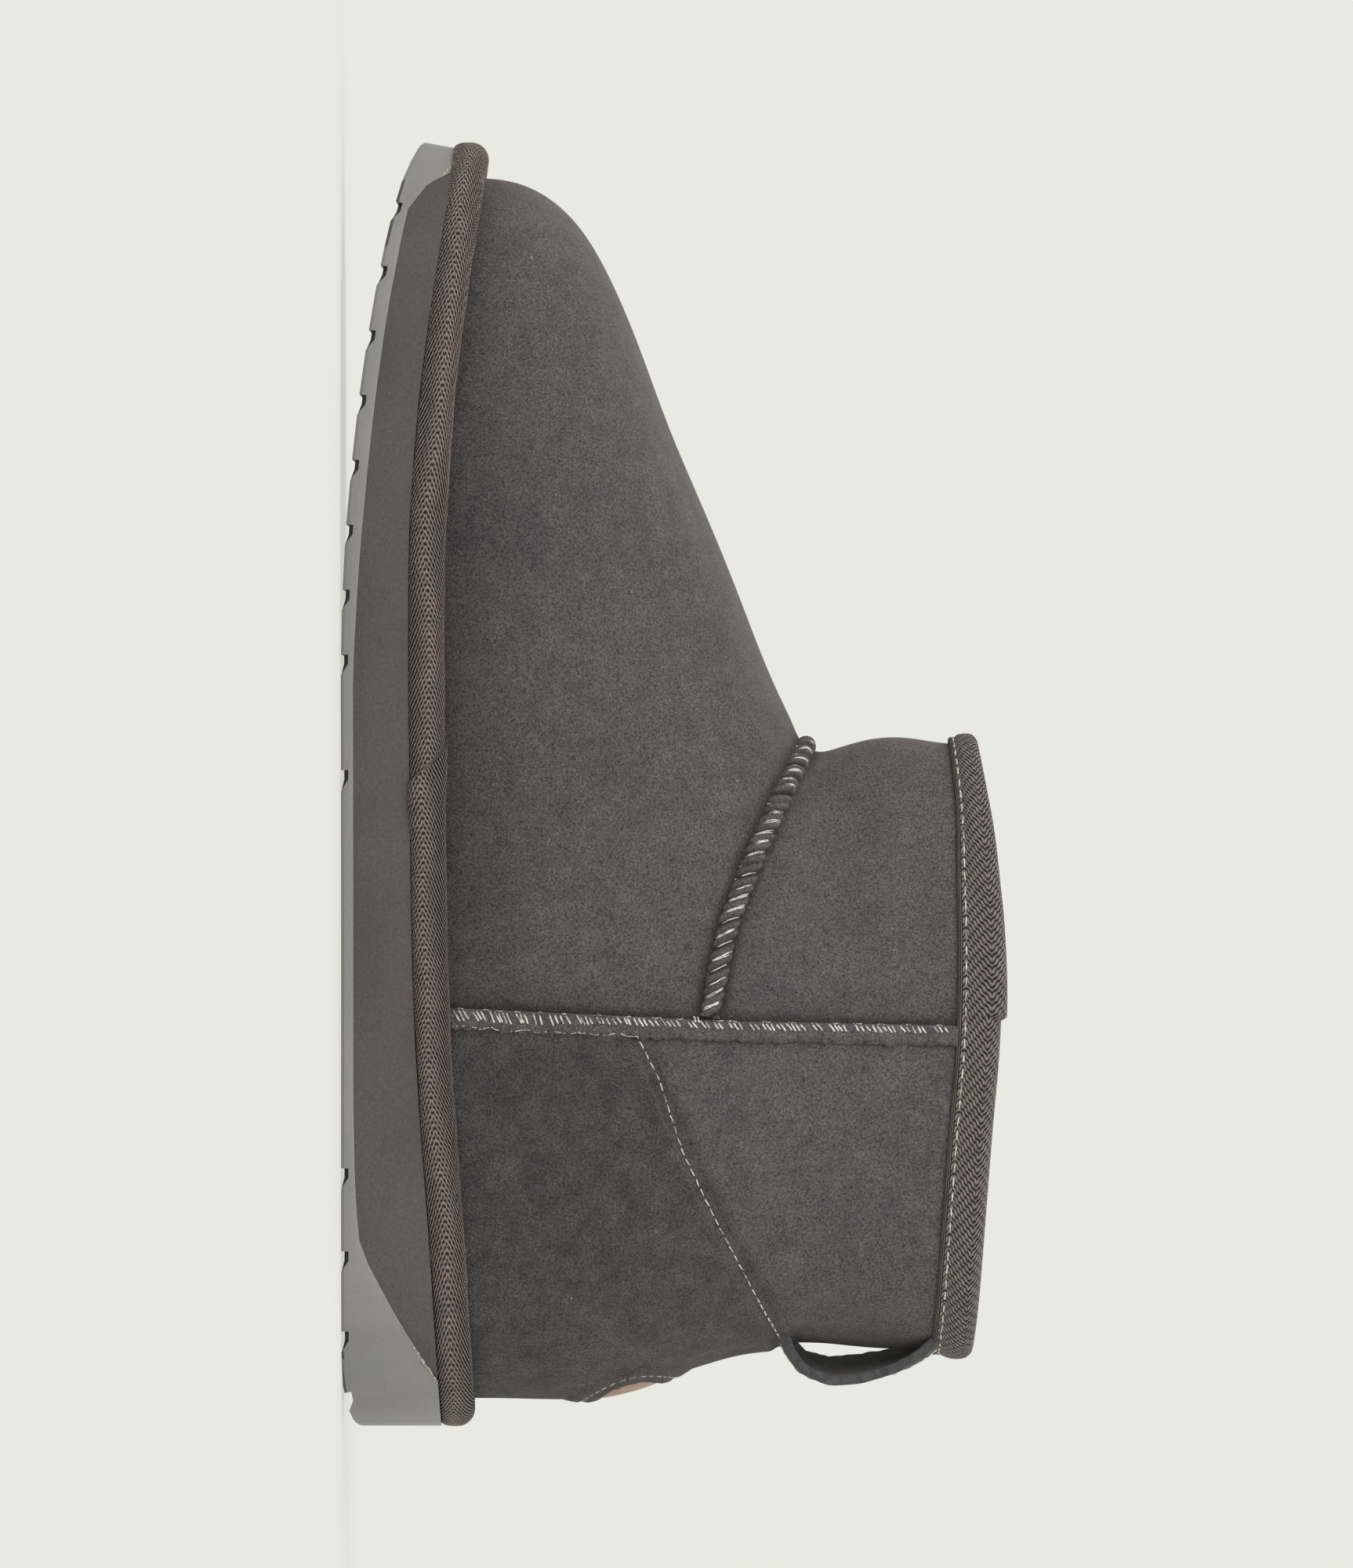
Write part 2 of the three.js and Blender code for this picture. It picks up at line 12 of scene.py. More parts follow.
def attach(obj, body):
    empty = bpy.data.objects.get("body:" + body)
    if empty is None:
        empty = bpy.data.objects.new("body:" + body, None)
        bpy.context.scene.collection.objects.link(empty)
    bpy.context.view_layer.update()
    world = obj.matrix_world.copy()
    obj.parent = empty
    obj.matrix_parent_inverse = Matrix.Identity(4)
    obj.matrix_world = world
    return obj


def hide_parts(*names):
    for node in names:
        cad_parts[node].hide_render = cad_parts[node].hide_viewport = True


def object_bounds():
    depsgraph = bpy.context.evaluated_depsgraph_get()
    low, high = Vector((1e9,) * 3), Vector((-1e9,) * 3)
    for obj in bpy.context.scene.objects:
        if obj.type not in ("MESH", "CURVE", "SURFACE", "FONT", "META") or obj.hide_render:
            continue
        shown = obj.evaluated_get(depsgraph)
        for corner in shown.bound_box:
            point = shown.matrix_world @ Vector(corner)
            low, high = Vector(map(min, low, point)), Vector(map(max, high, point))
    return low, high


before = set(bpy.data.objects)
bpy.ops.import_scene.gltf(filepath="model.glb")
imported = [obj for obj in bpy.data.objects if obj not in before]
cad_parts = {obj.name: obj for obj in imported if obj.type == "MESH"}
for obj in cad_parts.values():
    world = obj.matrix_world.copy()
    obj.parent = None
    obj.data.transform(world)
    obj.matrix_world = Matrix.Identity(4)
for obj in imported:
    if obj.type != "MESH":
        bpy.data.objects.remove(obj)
cad_low, cad_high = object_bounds()

# ---------------------------------------------------------------------------------------------
# The set: a plain pale floor with the same pale surroundings, soft light from all round, and a
# camera level with the middle of the boot on its medial side, rolled so that the toe points up.
# ---------------------------------------------------------------------------------------------


def linear(red, green, blue):
    """An 8-bit screen colour as the linear values that a shader takes."""
    shares = [value / 255 for value in (red, green, blue)]
    curve = [s / 12.92 if s <= 0.04045 else ((s + 0.055) / 1.055) ** 2.4 for s in shares]
    return (*curve, 1.0)


def add(tree, kind, inputs=None, **settings):
    """A new shader node with its settings, its input values and the links into it."""
    made = tree.nodes.new(kind)
    for key, value in settings.items():
        setattr(made, key, value)
    for key, value in (inputs or {}).items():
        if isinstance(value, bpy.types.NodeSocket):
            tree.links.new(value, made.inputs[key])
        else:
            made.inputs[key].default_value = value
    return made


MM = 0.001
scene = bpy.context.scene
scene.view_settings.view_transform = "Standard"
PALE = linear(232, 233, 225)
boot_middle = (cad_low + cad_high) / 2

camera_data = bpy.data.cameras.new("camera")
camera = bpy.data.objects.new("camera", camera_data)
scene.collection.objects.link(camera)
scene.camera = camera
CAMERA_DISTANCE = 6.0
BOOT_SHARE = 0.82  # of the picture's height that the boot's length fills
boot_length = cad_high.x - cad_low.x
camera_data.sensor_width = 36.0
camera_data.lens = 36.0 * CAMERA_DISTANCE * BOOT_SHARE / boot_length
camera_data.clip_start = 0.05
camera_data.clip_end = 60.0
camera.location = (boot_middle.x, CAMERA_DISTANCE, boot_middle.z)
camera.rotation_euler = (math.pi / 2, -math.pi / 2, math.pi)

floor_mesh = bpy.data.meshes.new("floor")
bm = bmesh.new()
bmesh.ops.create_grid(bm, x_segments=1, y_segments=1, size=20.0)
bm.to_mesh(floor_mesh)
bm.free()
floor_mesh.transform(Matrix.Translation((0, 0, -0.05 * MM)))
floor = bpy.data.objects.new("floor", floor_mesh)
scene.collection.objects.link(floor)
floor_finish = bpy.data.materials.new("pale_floor")
floor_finish.use_nodes = True
floor_shader = floor_finish.node_tree.nodes["Principled BSDF"]
floor_shader.inputs["Base Color"].default_value = (0.215, 0.2155, 0.2105, 1)
floor_shader.inputs["Emission Color"].default_value = PALE
floor_shader.inputs["Emission Strength"].default_value = 0.7
floor_shader.inputs["Roughness"].default_value = 1.0
floor_shader.inputs["Specular IOR Level"].default_value = 0.0
floor_mesh.materials.append(floor_finish)

world = bpy.data.worlds.new("surroundings")
scene.world = world
world.use_nodes = True
sky = world.node_tree.nodes["Background"]
sky.inputs["Color"].default_value = PALE
sky.inputs["Strength"].default_value = 1.0


def sun(name, toward, strength, softness):
    """A soft distant lamp that shines from the direction "toward" onto the boot."""
    lamp = bpy.data.lights.new(name, "SUN")
    lamp.energy = strength
    lamp.angle = math.radians(softness)
    holder = bpy.data.objects.new(name, lamp)
    holder.rotation_euler = Vector(toward).to_track_quat("Z", "Y").to_euler()
    scene.collection.objects.link(holder)


sun("key_light", (0.55, 1.0, 0.75), 1.3, 50)
sun("fill_light", (-0.5, -0.9, 0.8), 0.5, 70)

# ---------------------------------------------------------------------------------------------
# Suede: the flesh side of the sheepskin, brushed to a short nap. It is cut in panels for vamp,
# shaft and quarters, sewn edge to edge, and drawn over the last. Fleece grows on its inside.
# ---------------------------------------------------------------------------------------------


def nodes_of(name, display, roughness, specular=0.3):
    """A new material, its node tree and its Principled shader."""
    material = bpy.data.materials.new(name)
    material.use_nodes = True
    material.diffuse_color = display
    shader = material.node_tree.nodes["Principled BSDF"]
    shader.inputs["Roughness"].default_value = roughness
    shader.inputs["Specular IOR Level"].default_value = specular
    return material, material.node_tree, shader


def shader_group(name, inputs, outputs):
    """An empty node group with the named inputs (name, kind, default) and outputs (name, kind)."""
    group = bpy.data.node_groups.new(name, "ShaderNodeTree")
    for label, kind, default in inputs:
        socket = group.interface.new_socket(label, in_out="INPUT", socket_type=kind)
        if default is not None:
            socket.default_value = default
    for label, kind in outputs:
        group.interface.new_socket(label, in_out="OUTPUT", socket_type=kind)
    return group, group.nodes.new("NodeGroupInput"), group.nodes.new("NodeGroupOutput")


def use_group(tree, group, inputs):
    """A group's node in a material, with its input values and links."""
    made = tree.nodes.new("ShaderNodeGroup")
    made.node_tree = group
    for key, value in inputs.items():
        if isinstance(value, bpy.types.NodeSocket):
            tree.links.new(value, made.inputs[key])
        else:
            made.inputs[key].default_value = value
    return made


def mixed(tree, share, low, high):
    """The colour between two others, by a share."""
    return add(tree, "ShaderNodeMix", {0: share, 6: low, 7: high}, data_type="RGBA").outputs[2]


def noisy(tree, where, scale, detail, roughness=0.5):
    """A noise texture's value."""
    values = {"Vector": where, "Scale": scale, "Detail": detail, "Roughness": roughness}
    return add(tree, "ShaderNodeTexNoise", values).outputs["Fac"]


def spread(tree, value, from_min, from_max, to_min=0.0, to_max=1.0, curve="LINEAR"):
    """A value taken from one range to another, and held inside it."""
    ends = {"Value": value, "From Min": from_min, "From Max": from_max, "To Min": to_min, "To Max": to_max}
    return add(tree, "ShaderNodeMapRange", ends, interpolation_type=curve).outputs["Result"]


def maths(tree, operation, *values):
    """A Math node's output."""
    return add(tree, "ShaderNodeMath", dict(enumerate(values)), operation=operation).outputs[0]


def scaled(tree, color, factor):
    """A colour made lighter or darker by a factor."""
    return add(tree, "ShaderNodeVectorMath", {0: color, "Scale": factor}, operation="SCALE").outputs[0]


def bumped(tree, shader, height, strength, distance):
    """The height as a bump on the shader."""
    bump = add(tree, "ShaderNodeBump", {"Height": height, "Strength": strength, "Distance": distance})
    tree.links.new(bump.outputs["Normal"], shader.inputs["Normal"])


def painted(tree, shader, color):
    """The colour over the whole surface."""
    tree.links.new(color, shader.inputs["Base Color"])


def own_place(tree):
    """Places on the object itself, for a pattern that stays put on it."""
    return add(tree, "ShaderNodeTexCoord").outputs["Object"]


# Brushed nap: broad warm and cool patches, strokes of the brush, and a fine speckle of fibre ends.
nap_group, nap_in, nap_out = shader_group(
    "brushed_nap",
    [
        ("Place", "NodeSocketVector", None),
        ("Warm", "NodeSocketColor", (0.1, 0.09, 0.09, 1)),
        ("Cool", "NodeSocketColor", (0.08, 0.085, 0.08, 1)),
        ("Pale", "NodeSocketColor", (0.14, 0.13, 0.12, 1)),
        ("Patch Scale", "NodeSocketFloat", 28.0),
        ("Foot Shade", "NodeSocketFloat", 1.0),
    ],
    [("Color", "NodeSocketColor"), ("Height", "NodeSocketFloat")],
)
place, warm, cool, pale, patch_scale, foot_shade = nap_in.outputs[:6]
patches = noisy(nap_group, place, patch_scale, 3.0)
patch_color = mixed(nap_group, spread(nap_group, patches, 0.3, 0.7, curve="SMOOTHSTEP"), cool, warm)
brushed = noisy(nap_group, place, 210.0, 4.0, 0.6)
cloud_color = mixed(nap_group, spread(nap_group, brushed, 0.3, 0.75, 0.0, 0.42), patch_color, pale)
fibres = noisy(nap_group, place, 2400.0, 2.0, 0.7)
speckle = spread(nap_group, fibres, 0.28, 0.72, 0.3, 1.74)
# Painted shade: the nap is darker toward the sole (Foot Shade), where the suede turns down away from the
# light.
level = add(nap_group, "ShaderNodeSeparateXYZ", {"Vector": place}).outputs["Z"]
low_shade = spread(nap_group, level, 16 * MM, 46 * MM, foot_shade, 1.0, "SMOOTHSTEP")
speckled = scaled(nap_group, cloud_color, maths(nap_group, "MULTIPLY", speckle, low_shade))
nap_group.links.new(speckled, nap_out.inputs["Color"])
nap_group.links.new(maths(nap_group, "MULTIPLY_ADD", brushed, 1.6, fibres), nap_out.inputs["Height"])

# Lint: a few pale fibres and specks that cling to the nap.
lint_group, lint_in, lint_out = shader_group(
    "lint_specks",
    [("Place", "NodeSocketVector", None), ("Amount", "NodeSocketFloat", 0.5)],
    [("Mask", "NodeSocketFloat")],
)
specks = add(lint_group, "ShaderNodeTexVoronoi", {"Vector": lint_in.outputs["Place"], "Scale": 130.0})
speck_dot = spread(lint_group, specks.outputs["Distance"], 0.018, 0.03, 1.0, 0.0)
speck_pick = add(lint_group, "ShaderNodeSeparateColor", {"Color": specks.outputs["Color"]}).outputs["Red"]
speck_rare = maths(lint_group, "LESS_THAN", speck_pick, lint_in.outputs["Amount"])
lint_group.links.new(maths(lint_group, "MULTIPLY", speck_dot, speck_rare), lint_out.inputs["Mask"])
LINT_COLOR = linear(170, 165, 158)
# Near-black brown that painted shade darkens the suede toward, in crevices and shaded patches.
CREASE_SHADE_COLOR = linear(34, 31, 31)


def suede(name, warm, cool, pale, patch_scale=28.0, relief=0.35, lint=0.1, foot_shade=1.0):
    """Suede in the given screen colours, with its nap in the colour and in the bump."""
    material, tree, shader = nodes_of(name, linear(*warm), 0.95, 0.12)
    where = own_place(tree)
    nap = use_group(
        tree,
        nap_group,
        {
            "Place": where,
            "Warm": linear(*warm),
            "Cool": linear(*cool),
            "Pale": linear(*pale),
            "Patch Scale": patch_scale,
            "Foot Shade": foot_shade,
        },
    )
    lint_mask = use_group(tree, lint_group, {"Place": where, "Amount": lint}).outputs["Mask"]
    linted = mixed(tree, lint_mask, nap.outputs["Color"], LINT_COLOR)
    # Painted shade: a piece's crease attribute darkens its colour in the crevices along and beside the seams
    # and in patches of shade on the vamp.
    crease_shade = add(tree, "ShaderNodeAttribute", attribute_name="crease").outputs["Fac"]
    painted(tree, shader, mixed(tree, crease_shade, linted, CREASE_SHADE_COLOR))
    bumped(tree, shader, nap.outputs["Height"], relief, 0.0006)
    shader.inputs["Sheen Weight"].default_value = 0.16
    shader.inputs["Sheen Roughness"].default_value = 0.45
    shader.inputs["Sheen Tint"].default_value = (1.0, 0.94, 0.88, 1.0)
    return material


upper_suede = suede("upper_suede", (84, 78, 79), (75, 73, 76), (110, 103, 103), lint=0.2, foot_shade=0.68)


def mounted(name, mesh, material, replaces=()):
    """The mesh as a shaded object that rides on the boot."""
    mesh.shade_smooth()
    mesh.materials.append(material)
    made = bpy.data.objects.new(name, mesh)
    scene.collection.objects.link(made)
    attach(made, "root")
    if replaces:
        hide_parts(*replaces)
    return made


def finished(name, bm, material, replaces=()):
    """The bmesh as a mounted object, with its faces turned outwards."""
    bmesh.ops.recalc_face_normals(bm, faces=bm.faces)
    mesh = bpy.data.meshes.new(name)
    bm.to_mesh(mesh)
    bm.free()
    return mounted(name, mesh, material, replaces)


def subdivided(bm, levels):
    """The bmesh after smooth subdivision."""
    mesh = bpy.data.meshes.new("cage")
    bm.to_mesh(mesh)
    bm.free()
    cage = bpy.data.objects.new("cage", mesh)
    scene.collection.objects.link(cage)
    smooth = cage.modifiers.new("smooth", "SUBSURF")
    smooth.levels = levels
    smooth.render_levels = levels
    graph = bpy.context.evaluated_depsgraph_get()
    graph.update()
    fine = bpy.data.meshes.new_from_object(cage.evaluated_get(graph))
    bpy.data.objects.remove(cage)
    made = bmesh.new()
    made.from_mesh(fine)
    bpy.data.meshes.remove(fine)
    return made


# The CAD wall, taken apart at the feather line and under the binding: suede outside, fleece inside.
wall = bmesh.new()
wall.from_mesh(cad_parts["upper"].data)
bmesh.ops.remove_doubles(wall, verts=wall.verts, dist=2e-6)
bmesh.ops.join_triangles(
    wall, faces=wall.faces, angle_face_threshold=math.pi, angle_shape_threshold=math.pi
)
wall.normal_update()
COVERED_LEVEL = 0.127  # m; from here up the binding covers the wall
rims = [
    f
    for f in wall.faces
    if f.normal.z < -0.75 or (f.normal.z > 0.75 and f.calc_center_median().z > COVERED_LEVEL)
]
bmesh.ops.delete(wall, geom=rims, context="FACES")
wall.verts.ensure_lookup_table()
toe_end = max(wall.verts, key=lambda v: v.co.x)


def island(start):
    """All the corners that hang together with "start"."""
    found = {start}
    edge = [start]
    while edge:
        corner = edge.pop()
        for link in corner.link_edges:
            other = link.other_vert(corner)
            if other not in found:
                found.add(other)
                edge.append(other)
    return found


outside = island(toe_end)
lining = wall.copy()
lining.verts.ensure_lookup_table()
outside_numbers = {v.index for v in outside}
bmesh.ops.delete(lining, geom=[v for v in lining.verts if v.index in outside_numbers], context="VERTS")
bmesh.ops.delete(wall, geom=[v for v in wall.verts if v not in outside], context="VERTS")
skin = subdivided(wall, 3)
lining = subdivided(lining, 2)

# The collar dips toward the front: distance from the heel's end, and dip, in mm.
COLLAR_DIP = [(0, 0.5), (106, 0.6), (124, 1.1), (134, 1.6), (144, 2.0)]
for shell in (skin, lining):
    for corner in shell.verts:
        near_edge = min(max((corner.co.z - 0.112) / (18 * MM), 0), 1)
        distance = (corner.co.x - cad_low.x) / MM
        corner.co.z -= near_edge**2 * np.interp(distance, *zip(*COLLAR_DIP)) * MM
    shell.normal_update()
skin_tree = BVHTree.FromBMesh(skin)


def rim_loop(bm, low):
    """The open edge at the sole (low) or at the collar of a skin, as points in order."""
    starts = [v for v in bm.verts if v.is_boundary]
    middle = sum((v.co.z for v in starts)) / len(starts)
    ring = [v for v in starts if (v.co.z < middle) == low]
    first = min(ring, key=lambda v: v.co.x)
    loop = [first]
    step = next(e.other_vert(first) for e in first.link_edges if e.is_boundary)
    if step.co.y > first.co.y:
        step = [e.other_vert(first) for e in first.link_edges if e.is_boundary][1]
    while step is not first:
        loop.append(step)
        others = [e.other_vert(step) for e in step.link_edges if e.is_boundary]
        step = next(other for other in others if other is not loop[-2])
    return np.array([v.co[:] for v in loop])


feather_loop = rim_loop(skin, True)
collar_loop = rim_loop(skin, False)


def even(points, count, closed=True):
    """The same line with its points evenly spaced, and its length."""
    line = np.vstack([points, points[:1]]) if closed else points
    steps = np.linalg.norm(np.diff(line, axis=0), axis=1)
    distance = np.concatenate([[0], np.cumsum(steps)])
    targets = np.linspace(0, distance[-1], count + 1 if closed else count)
    made = np.stack([np.interp(targets, distance, line[:, k]) for k in range(3)], axis=1)
    return made, distance[-1]


def softened(values, reach):
    """A closed run of values, averaged over "reach" neighbours each side."""
    kernel = np.hanning(2 * reach + 3)[1:-1]
    kernel /= kernel.sum()
    padded = np.concatenate([values[-reach:], values, values[:reach]])
    return np.convolve(padded, kernel, "valid")
def softened_line(line, reach):
    """A closed line of places or directions, each averaged over its neighbours."""
    return np.stack([softened(line[:, k], reach) for k in range(line.shape[1])], axis=1)


def unit(ways):
    """Directions made one long."""
    return ways / np.linalg.norm(ways, axis=1)[:, None]
# Where the seams lie, in the boot's side view: distance from the heel's end, and height, in mm.
HEEL_X = cad_low.x
SHAFT_MIDDLE = 84  # mm from the heel's end
AXIS = (HEEL_X + SHAFT_MIDDLE * MM, 2.5 * MM)  # upright line inside the shaft that the seams are seen from
SIDE_SEAM = [(24, 86.1), (57, 84.6), (82, 83.5), (128, 82.6)]  # height, distance
VAMP_SEAM = [(84, 75.2), (94.7, 77.3), (104, 79.4), (117.9, 84.7), (129.4, 89.9), (139, 94.6), (150, 100)]
COUNTER_TOP = [(10, 96.5), (20, 92.6), (30.3, 87.3), (39.8, 82.1), (51.6, 76.2), (72.3, 67), (84, 62.4)]
COUNTER_STITCH = [(10, 94), (19.7, 89.6), (24.7, 86.6), (43.8, 76.5), (57.2, 70), (72.4, 65), (84, 59)]


def table(rows, value):
    """A value read off a two-column table."""
    return float(np.interp(value, [r[0] for r in rows], [r[1] for r in rows]))


def line_round(rows, start, end, count, tree=skin_tree):
    """Points and outward directions on the skin along a line whose height is a table of distance.
    Angles are seen from the upright axis: 0 is the toe, 90 the medial side, 180 the heel."""
    points, normals = [], []
    for angle in np.radians(np.linspace(start, end, count)):
        across = Vector((math.cos(angle), math.sin(angle), 0))
        height = table(rows, SHAFT_MIDDLE) * MM
        at_x = AXIS[0]
        for _ in range(7):
            place_on = Vector((AXIS[0], AXIS[1], height))
            hit, normal, _, _ = tree.ray_cast(place_on, across)
            at_x = 0.5 * (at_x + hit.x)
            height = table(rows, (at_x - HEEL_X) / MM) * MM
        points.append(hit)
        normals.append(normal if normal.dot(across) > 0 else -normal)
    return np.array(points), np.array(normals)


def line_up(side, low, high, count, tree=skin_tree):
    """Points and outward directions up the side seam: side is +1 for the medial, -1 for the lateral."""
    points, normals = [], []
    for height in np.linspace(low, high, count):
        start = Vector((HEEL_X + table(SIDE_SEAM, height) * MM, AXIS[1], height * MM))
        hit, normal, _, _ = tree.ray_cast(start, Vector((0, side, 0)))
        points.append(hit)
        normals.append(normal if normal.y * side > 0 else -normal)
    return np.array(points), np.array(normals)


VAMP_SPAN = (-89, 89, 260)  # first and last angle, and points between
vamp_points, vamp_normals = line_round(VAMP_SEAM, *VAMP_SPAN)
seam_points, seam_normals = {}, {}
for side in (1, -1):
    seam_points[side], seam_normals[side] = line_up(side, 21, 127.5, 220)


# Seams pull the suede in beside them, and the leather falls in a few broad, soft dents.
def near(points, line):
    """Distance from each point to the nearest point of a line."""
    gap = np.full(len(points), 1.0)
    for p in line[::3]:
        gap = np.minimum(gap, np.linalg.norm(points - p, axis=1))
    return gap


DENTS = [
    # distance and height in side view, side (+1 medial, -1 lateral, 0 both), radius, depth
    (205, 44, 1, 22, 0.9),
    (168, 52, 1, 26, 0.8),
    (128, 48, 1, 24, -0.8),
    (112, 66, 1, 14, 0.9),
    (150, 78, 0, 16, 0.7),
    (55, 102, 1, 22, 0.9),
    (110, 104, 1, 16, 0.8),
    (34, 108, 1, 12, -0.5),
    (70, 90, 1, 13, -0.6),
    (190, 50, -1, 26, 1.0),
    (140, 54, -1, 24, 0.9),
    (110, 100, -1, 18, 0.9),
    (50, 104, -1, 20, -0.8),
    (120, 62, -1, 13, 0.8),
]
skin_places = np.array([v.co[:] for v in skin.verts])
skin_normals = np.array([v.normal[:] for v in skin.verts])
rope_gap = near(skin_places, vamp_points)
side_gap = np.minimum(near(skin_places, seam_points[1]), near(skin_places, seam_points[-1]))
seam_gap = np.minimum(rope_gap, side_gap)
SEAM_SINK, SEAM_REACH = 0.9 * MM, 4.2 * MM
sink = SEAM_SINK * np.exp(-((seam_gap / SEAM_REACH) ** 2))
# Painted shade for the crease attribute: darkest in the crevices right beside the seams, fading over a few
# mm.
beside_seam = np.minimum(np.maximum(rope_gap - 1.4 * MM, 0), side_gap)
crease = 0.6 * np.exp(-((beside_seam / (1.9 * MM)) ** 4)) + 0.14 * np.exp(-((beside_seam / (6.0 * MM)) ** 2))
# Patches of painted shade on the side, where the vamp turns down away from the light: distance and height in
# side view, two radii, and how dark.
PAINTED_SHADE_PATCHES = [(185, 36, 40, 18, 0.13), (150, 50, 30, 14, 0.07)]
for distance, height, long_radius, high_radius, share in PAINTED_SHADE_PATCHES:
    dx = (skin_places[:, 0] - (HEEL_X + distance * MM)) / (long_radius * MM)
    dz = (skin_places[:, 2] - height * MM) / (high_radius * MM)
    crease = crease + share * np.exp(-(dx**2 + dz**2))
crease = np.clip(crease, 0, 1)
for distance, height, side, radius, depth in DENTS:
    dx = skin_places[:, 0] - (HEEL_X + distance * MM)
    dz = skin_places[:, 2] - height * MM
    on_side = 1.0 if side == 0 else 1 / (1 + np.exp(-skin_places[:, 1] * side / (6 * MM)))
    sink = sink + depth * MM * on_side * np.exp(-(dx**2 + dz**2) / (radius * MM) ** 2)
lateral_foot = feather_loop[: len(feather_loop) // 2]
foot_height = np.interp(skin_places[:, 0], lateral_foot[:, 0], lateral_foot[:, 2])
above_tape = np.clip((skin_places[:, 2] - foot_height) / (14 * MM), 0, 1)
below_binding = np.clip((COVERED_LEVEL - skin_places[:, 2]) / (10 * MM), 0, 1)
skin_places = skin_places - skin_normals * (sink * above_tape * below_binding)[:, None]
for corner, moved in zip(skin.verts, skin_places):
    corner.co = moved
skin.normal_update()
skin_tree = BVHTree.FromBMesh(skin)
upper_piece = finished("upper_suede_panels", skin, upper_suede, ["upper"])
# The crease attribute carries the painted shade into the suede's colour.
upper_piece.data.attributes.new("crease", "FLOAT", "POINT").data.foreach_set("value", crease)
vamp_points, vamp_normals = line_round(VAMP_SEAM, *VAMP_SPAN, skin_tree)
for side in (1, -1):
    seam_points[side], seam_normals[side] = line_up(side, 21, 126.4, 220, skin_tree)

# ---------------------------------------------------------------------------------------------
# Seams: the panels' edges are turned out and whipped together with a pale thread, so the vamp's
# seam stands up as a soft rope of suede. The side seams are pressed over, towards the heel.
# ---------------------------------------------------------------------------------------------


def smooth(edge_low, edge_high, value):
    """0 below the low edge, 1 above the high one, and a smooth climb between."""
    t = np.clip((value - edge_low) / (edge_high - edge_low), 0, 1)
    return t * t * (3 - 2 * t)


def sheet_between(name, rows, material, tops, closed=False, replaces=()):
    """A grid whose corners take the given places (along, across, 3); tops holds its UV, in mm."""
    along, across = rows.shape[:2]
    bm = bmesh.new()
    layer = bm.loops.layers.uv.new("cloth")
    bmesh.ops.create_grid(bm, x_segments=across - 1, y_segments=along - 1, size=1.0)
    bm.verts.ensure_lookup_table()
    flat = rows.reshape(-1, 3)
    cloth = tops.reshape(-1, 2)
    for corner, where in zip(bm.verts, flat):
        corner.co = where
    for face in bm.faces:
        for corner in face.loops:
            corner[layer].uv = cloth[corner.vert.index]
    if closed:
        bmesh.ops.remove_doubles(bm, verts=[v for v in bm.verts if v.is_boundary], dist=1e-6)
    return finished(name, bm, material, replaces)


def beside(points, normals):
    """The direction across a line that lies on the skin, at each of its points."""
    along = np.gradient(points, axis=0)
    return unit(np.cross(along, normals))


def resampled(points, normals, count):
    """A line on the skin in even steps: its points, outward directions, sideways directions and length."""
    line, length = even(points, count, closed=False)
    share = np.linspace(0, len(normals) - 1, count)
    direction = np.stack([np.interp(share, np.arange(len(normals)), normals[:, k]) for k in range(3)], axis=1)
    return line, direction, beside(line, direction), length / MM


ROPE_WIDTH, ROPE_HEIGHT = 4.7, 2.9
ROPE_LUMPS = (0.3, 0.3)  # shares of its height that the rope loses under each, and each other, stitch
WHIP_COUNT = 62
WHIP_SLANT = 1.7  # mm that a stitch leans along the rope, over half its width


def rope_rise(step):
    """How high the rope stands at a step across it, from -1 to 1, as a share of its height."""
    return math.sqrt(max(0.0, 1 - abs(step) ** 2.2)) - 0.12


def seam_rope(name, points, normals):
    """A raised seam with a lump between each two stitches."""
    count = 440
    line, direction, side_way, length = resampled(points, normals, count)
    distance = np.linspace(0, length, count)
    wander = softened(np.random.default_rng(7).normal(0, 1, count), 12) * 2.0
    lumpy = softened(np.random.default_rng(8).normal(0, 1, count), 2)
    arc = np.linspace(-1, 1, 23)
    rows, wear_and_shade = [], []
    for step in arc:
        phase = (distance - WHIP_SLANT * step) * WHIP_COUNT / length
        lump = 1 - ROPE_LUMPS[0] * (0.5 + 0.5 * np.cos(2 * np.pi * phase)) ** 1.6
        lump -= ROPE_LUMPS[1] * (0.5 + 0.5 * np.cos(np.pi * phase)) ** 2.2 * (1 - 0.35 * step)
        lift = ROPE_HEIGHT * rope_rise(step) * lump * (1 + 0.08 * wander) + 0.07 * lumpy * (1 - step**2)
        sway = ROPE_WIDTH / 2 * step * (1 + 0.07 * wander) * (0.72 + 0.28 * lump)
        rows.append(line + (direction * lift[:, None] + side_way * sway[:, None]) * MM)
        # Painted shade: darker in the grooves between the lumps and toward the rope's edges, stored as the
        # crease attribute.
        wear_and_shade.append(np.clip(1.25 * (1 - lump) / sum(ROPE_LUMPS) + 0.5 * step**6 - 0.2, 0, 0.8))
    places = np.stack(rows, axis=1)
    cloth = np.stack(np.meshgrid(distance, arc * ROPE_WIDTH / 2, indexing="ij"), axis=2)
    made = sheet_between(name, places, seam_suede, cloth)
    shade = np.stack(wear_and_shade, axis=1).ravel()
    made.data.attributes.new("crease", "FLOAT", "POINT").data.foreach_set("value", shade)
    return made


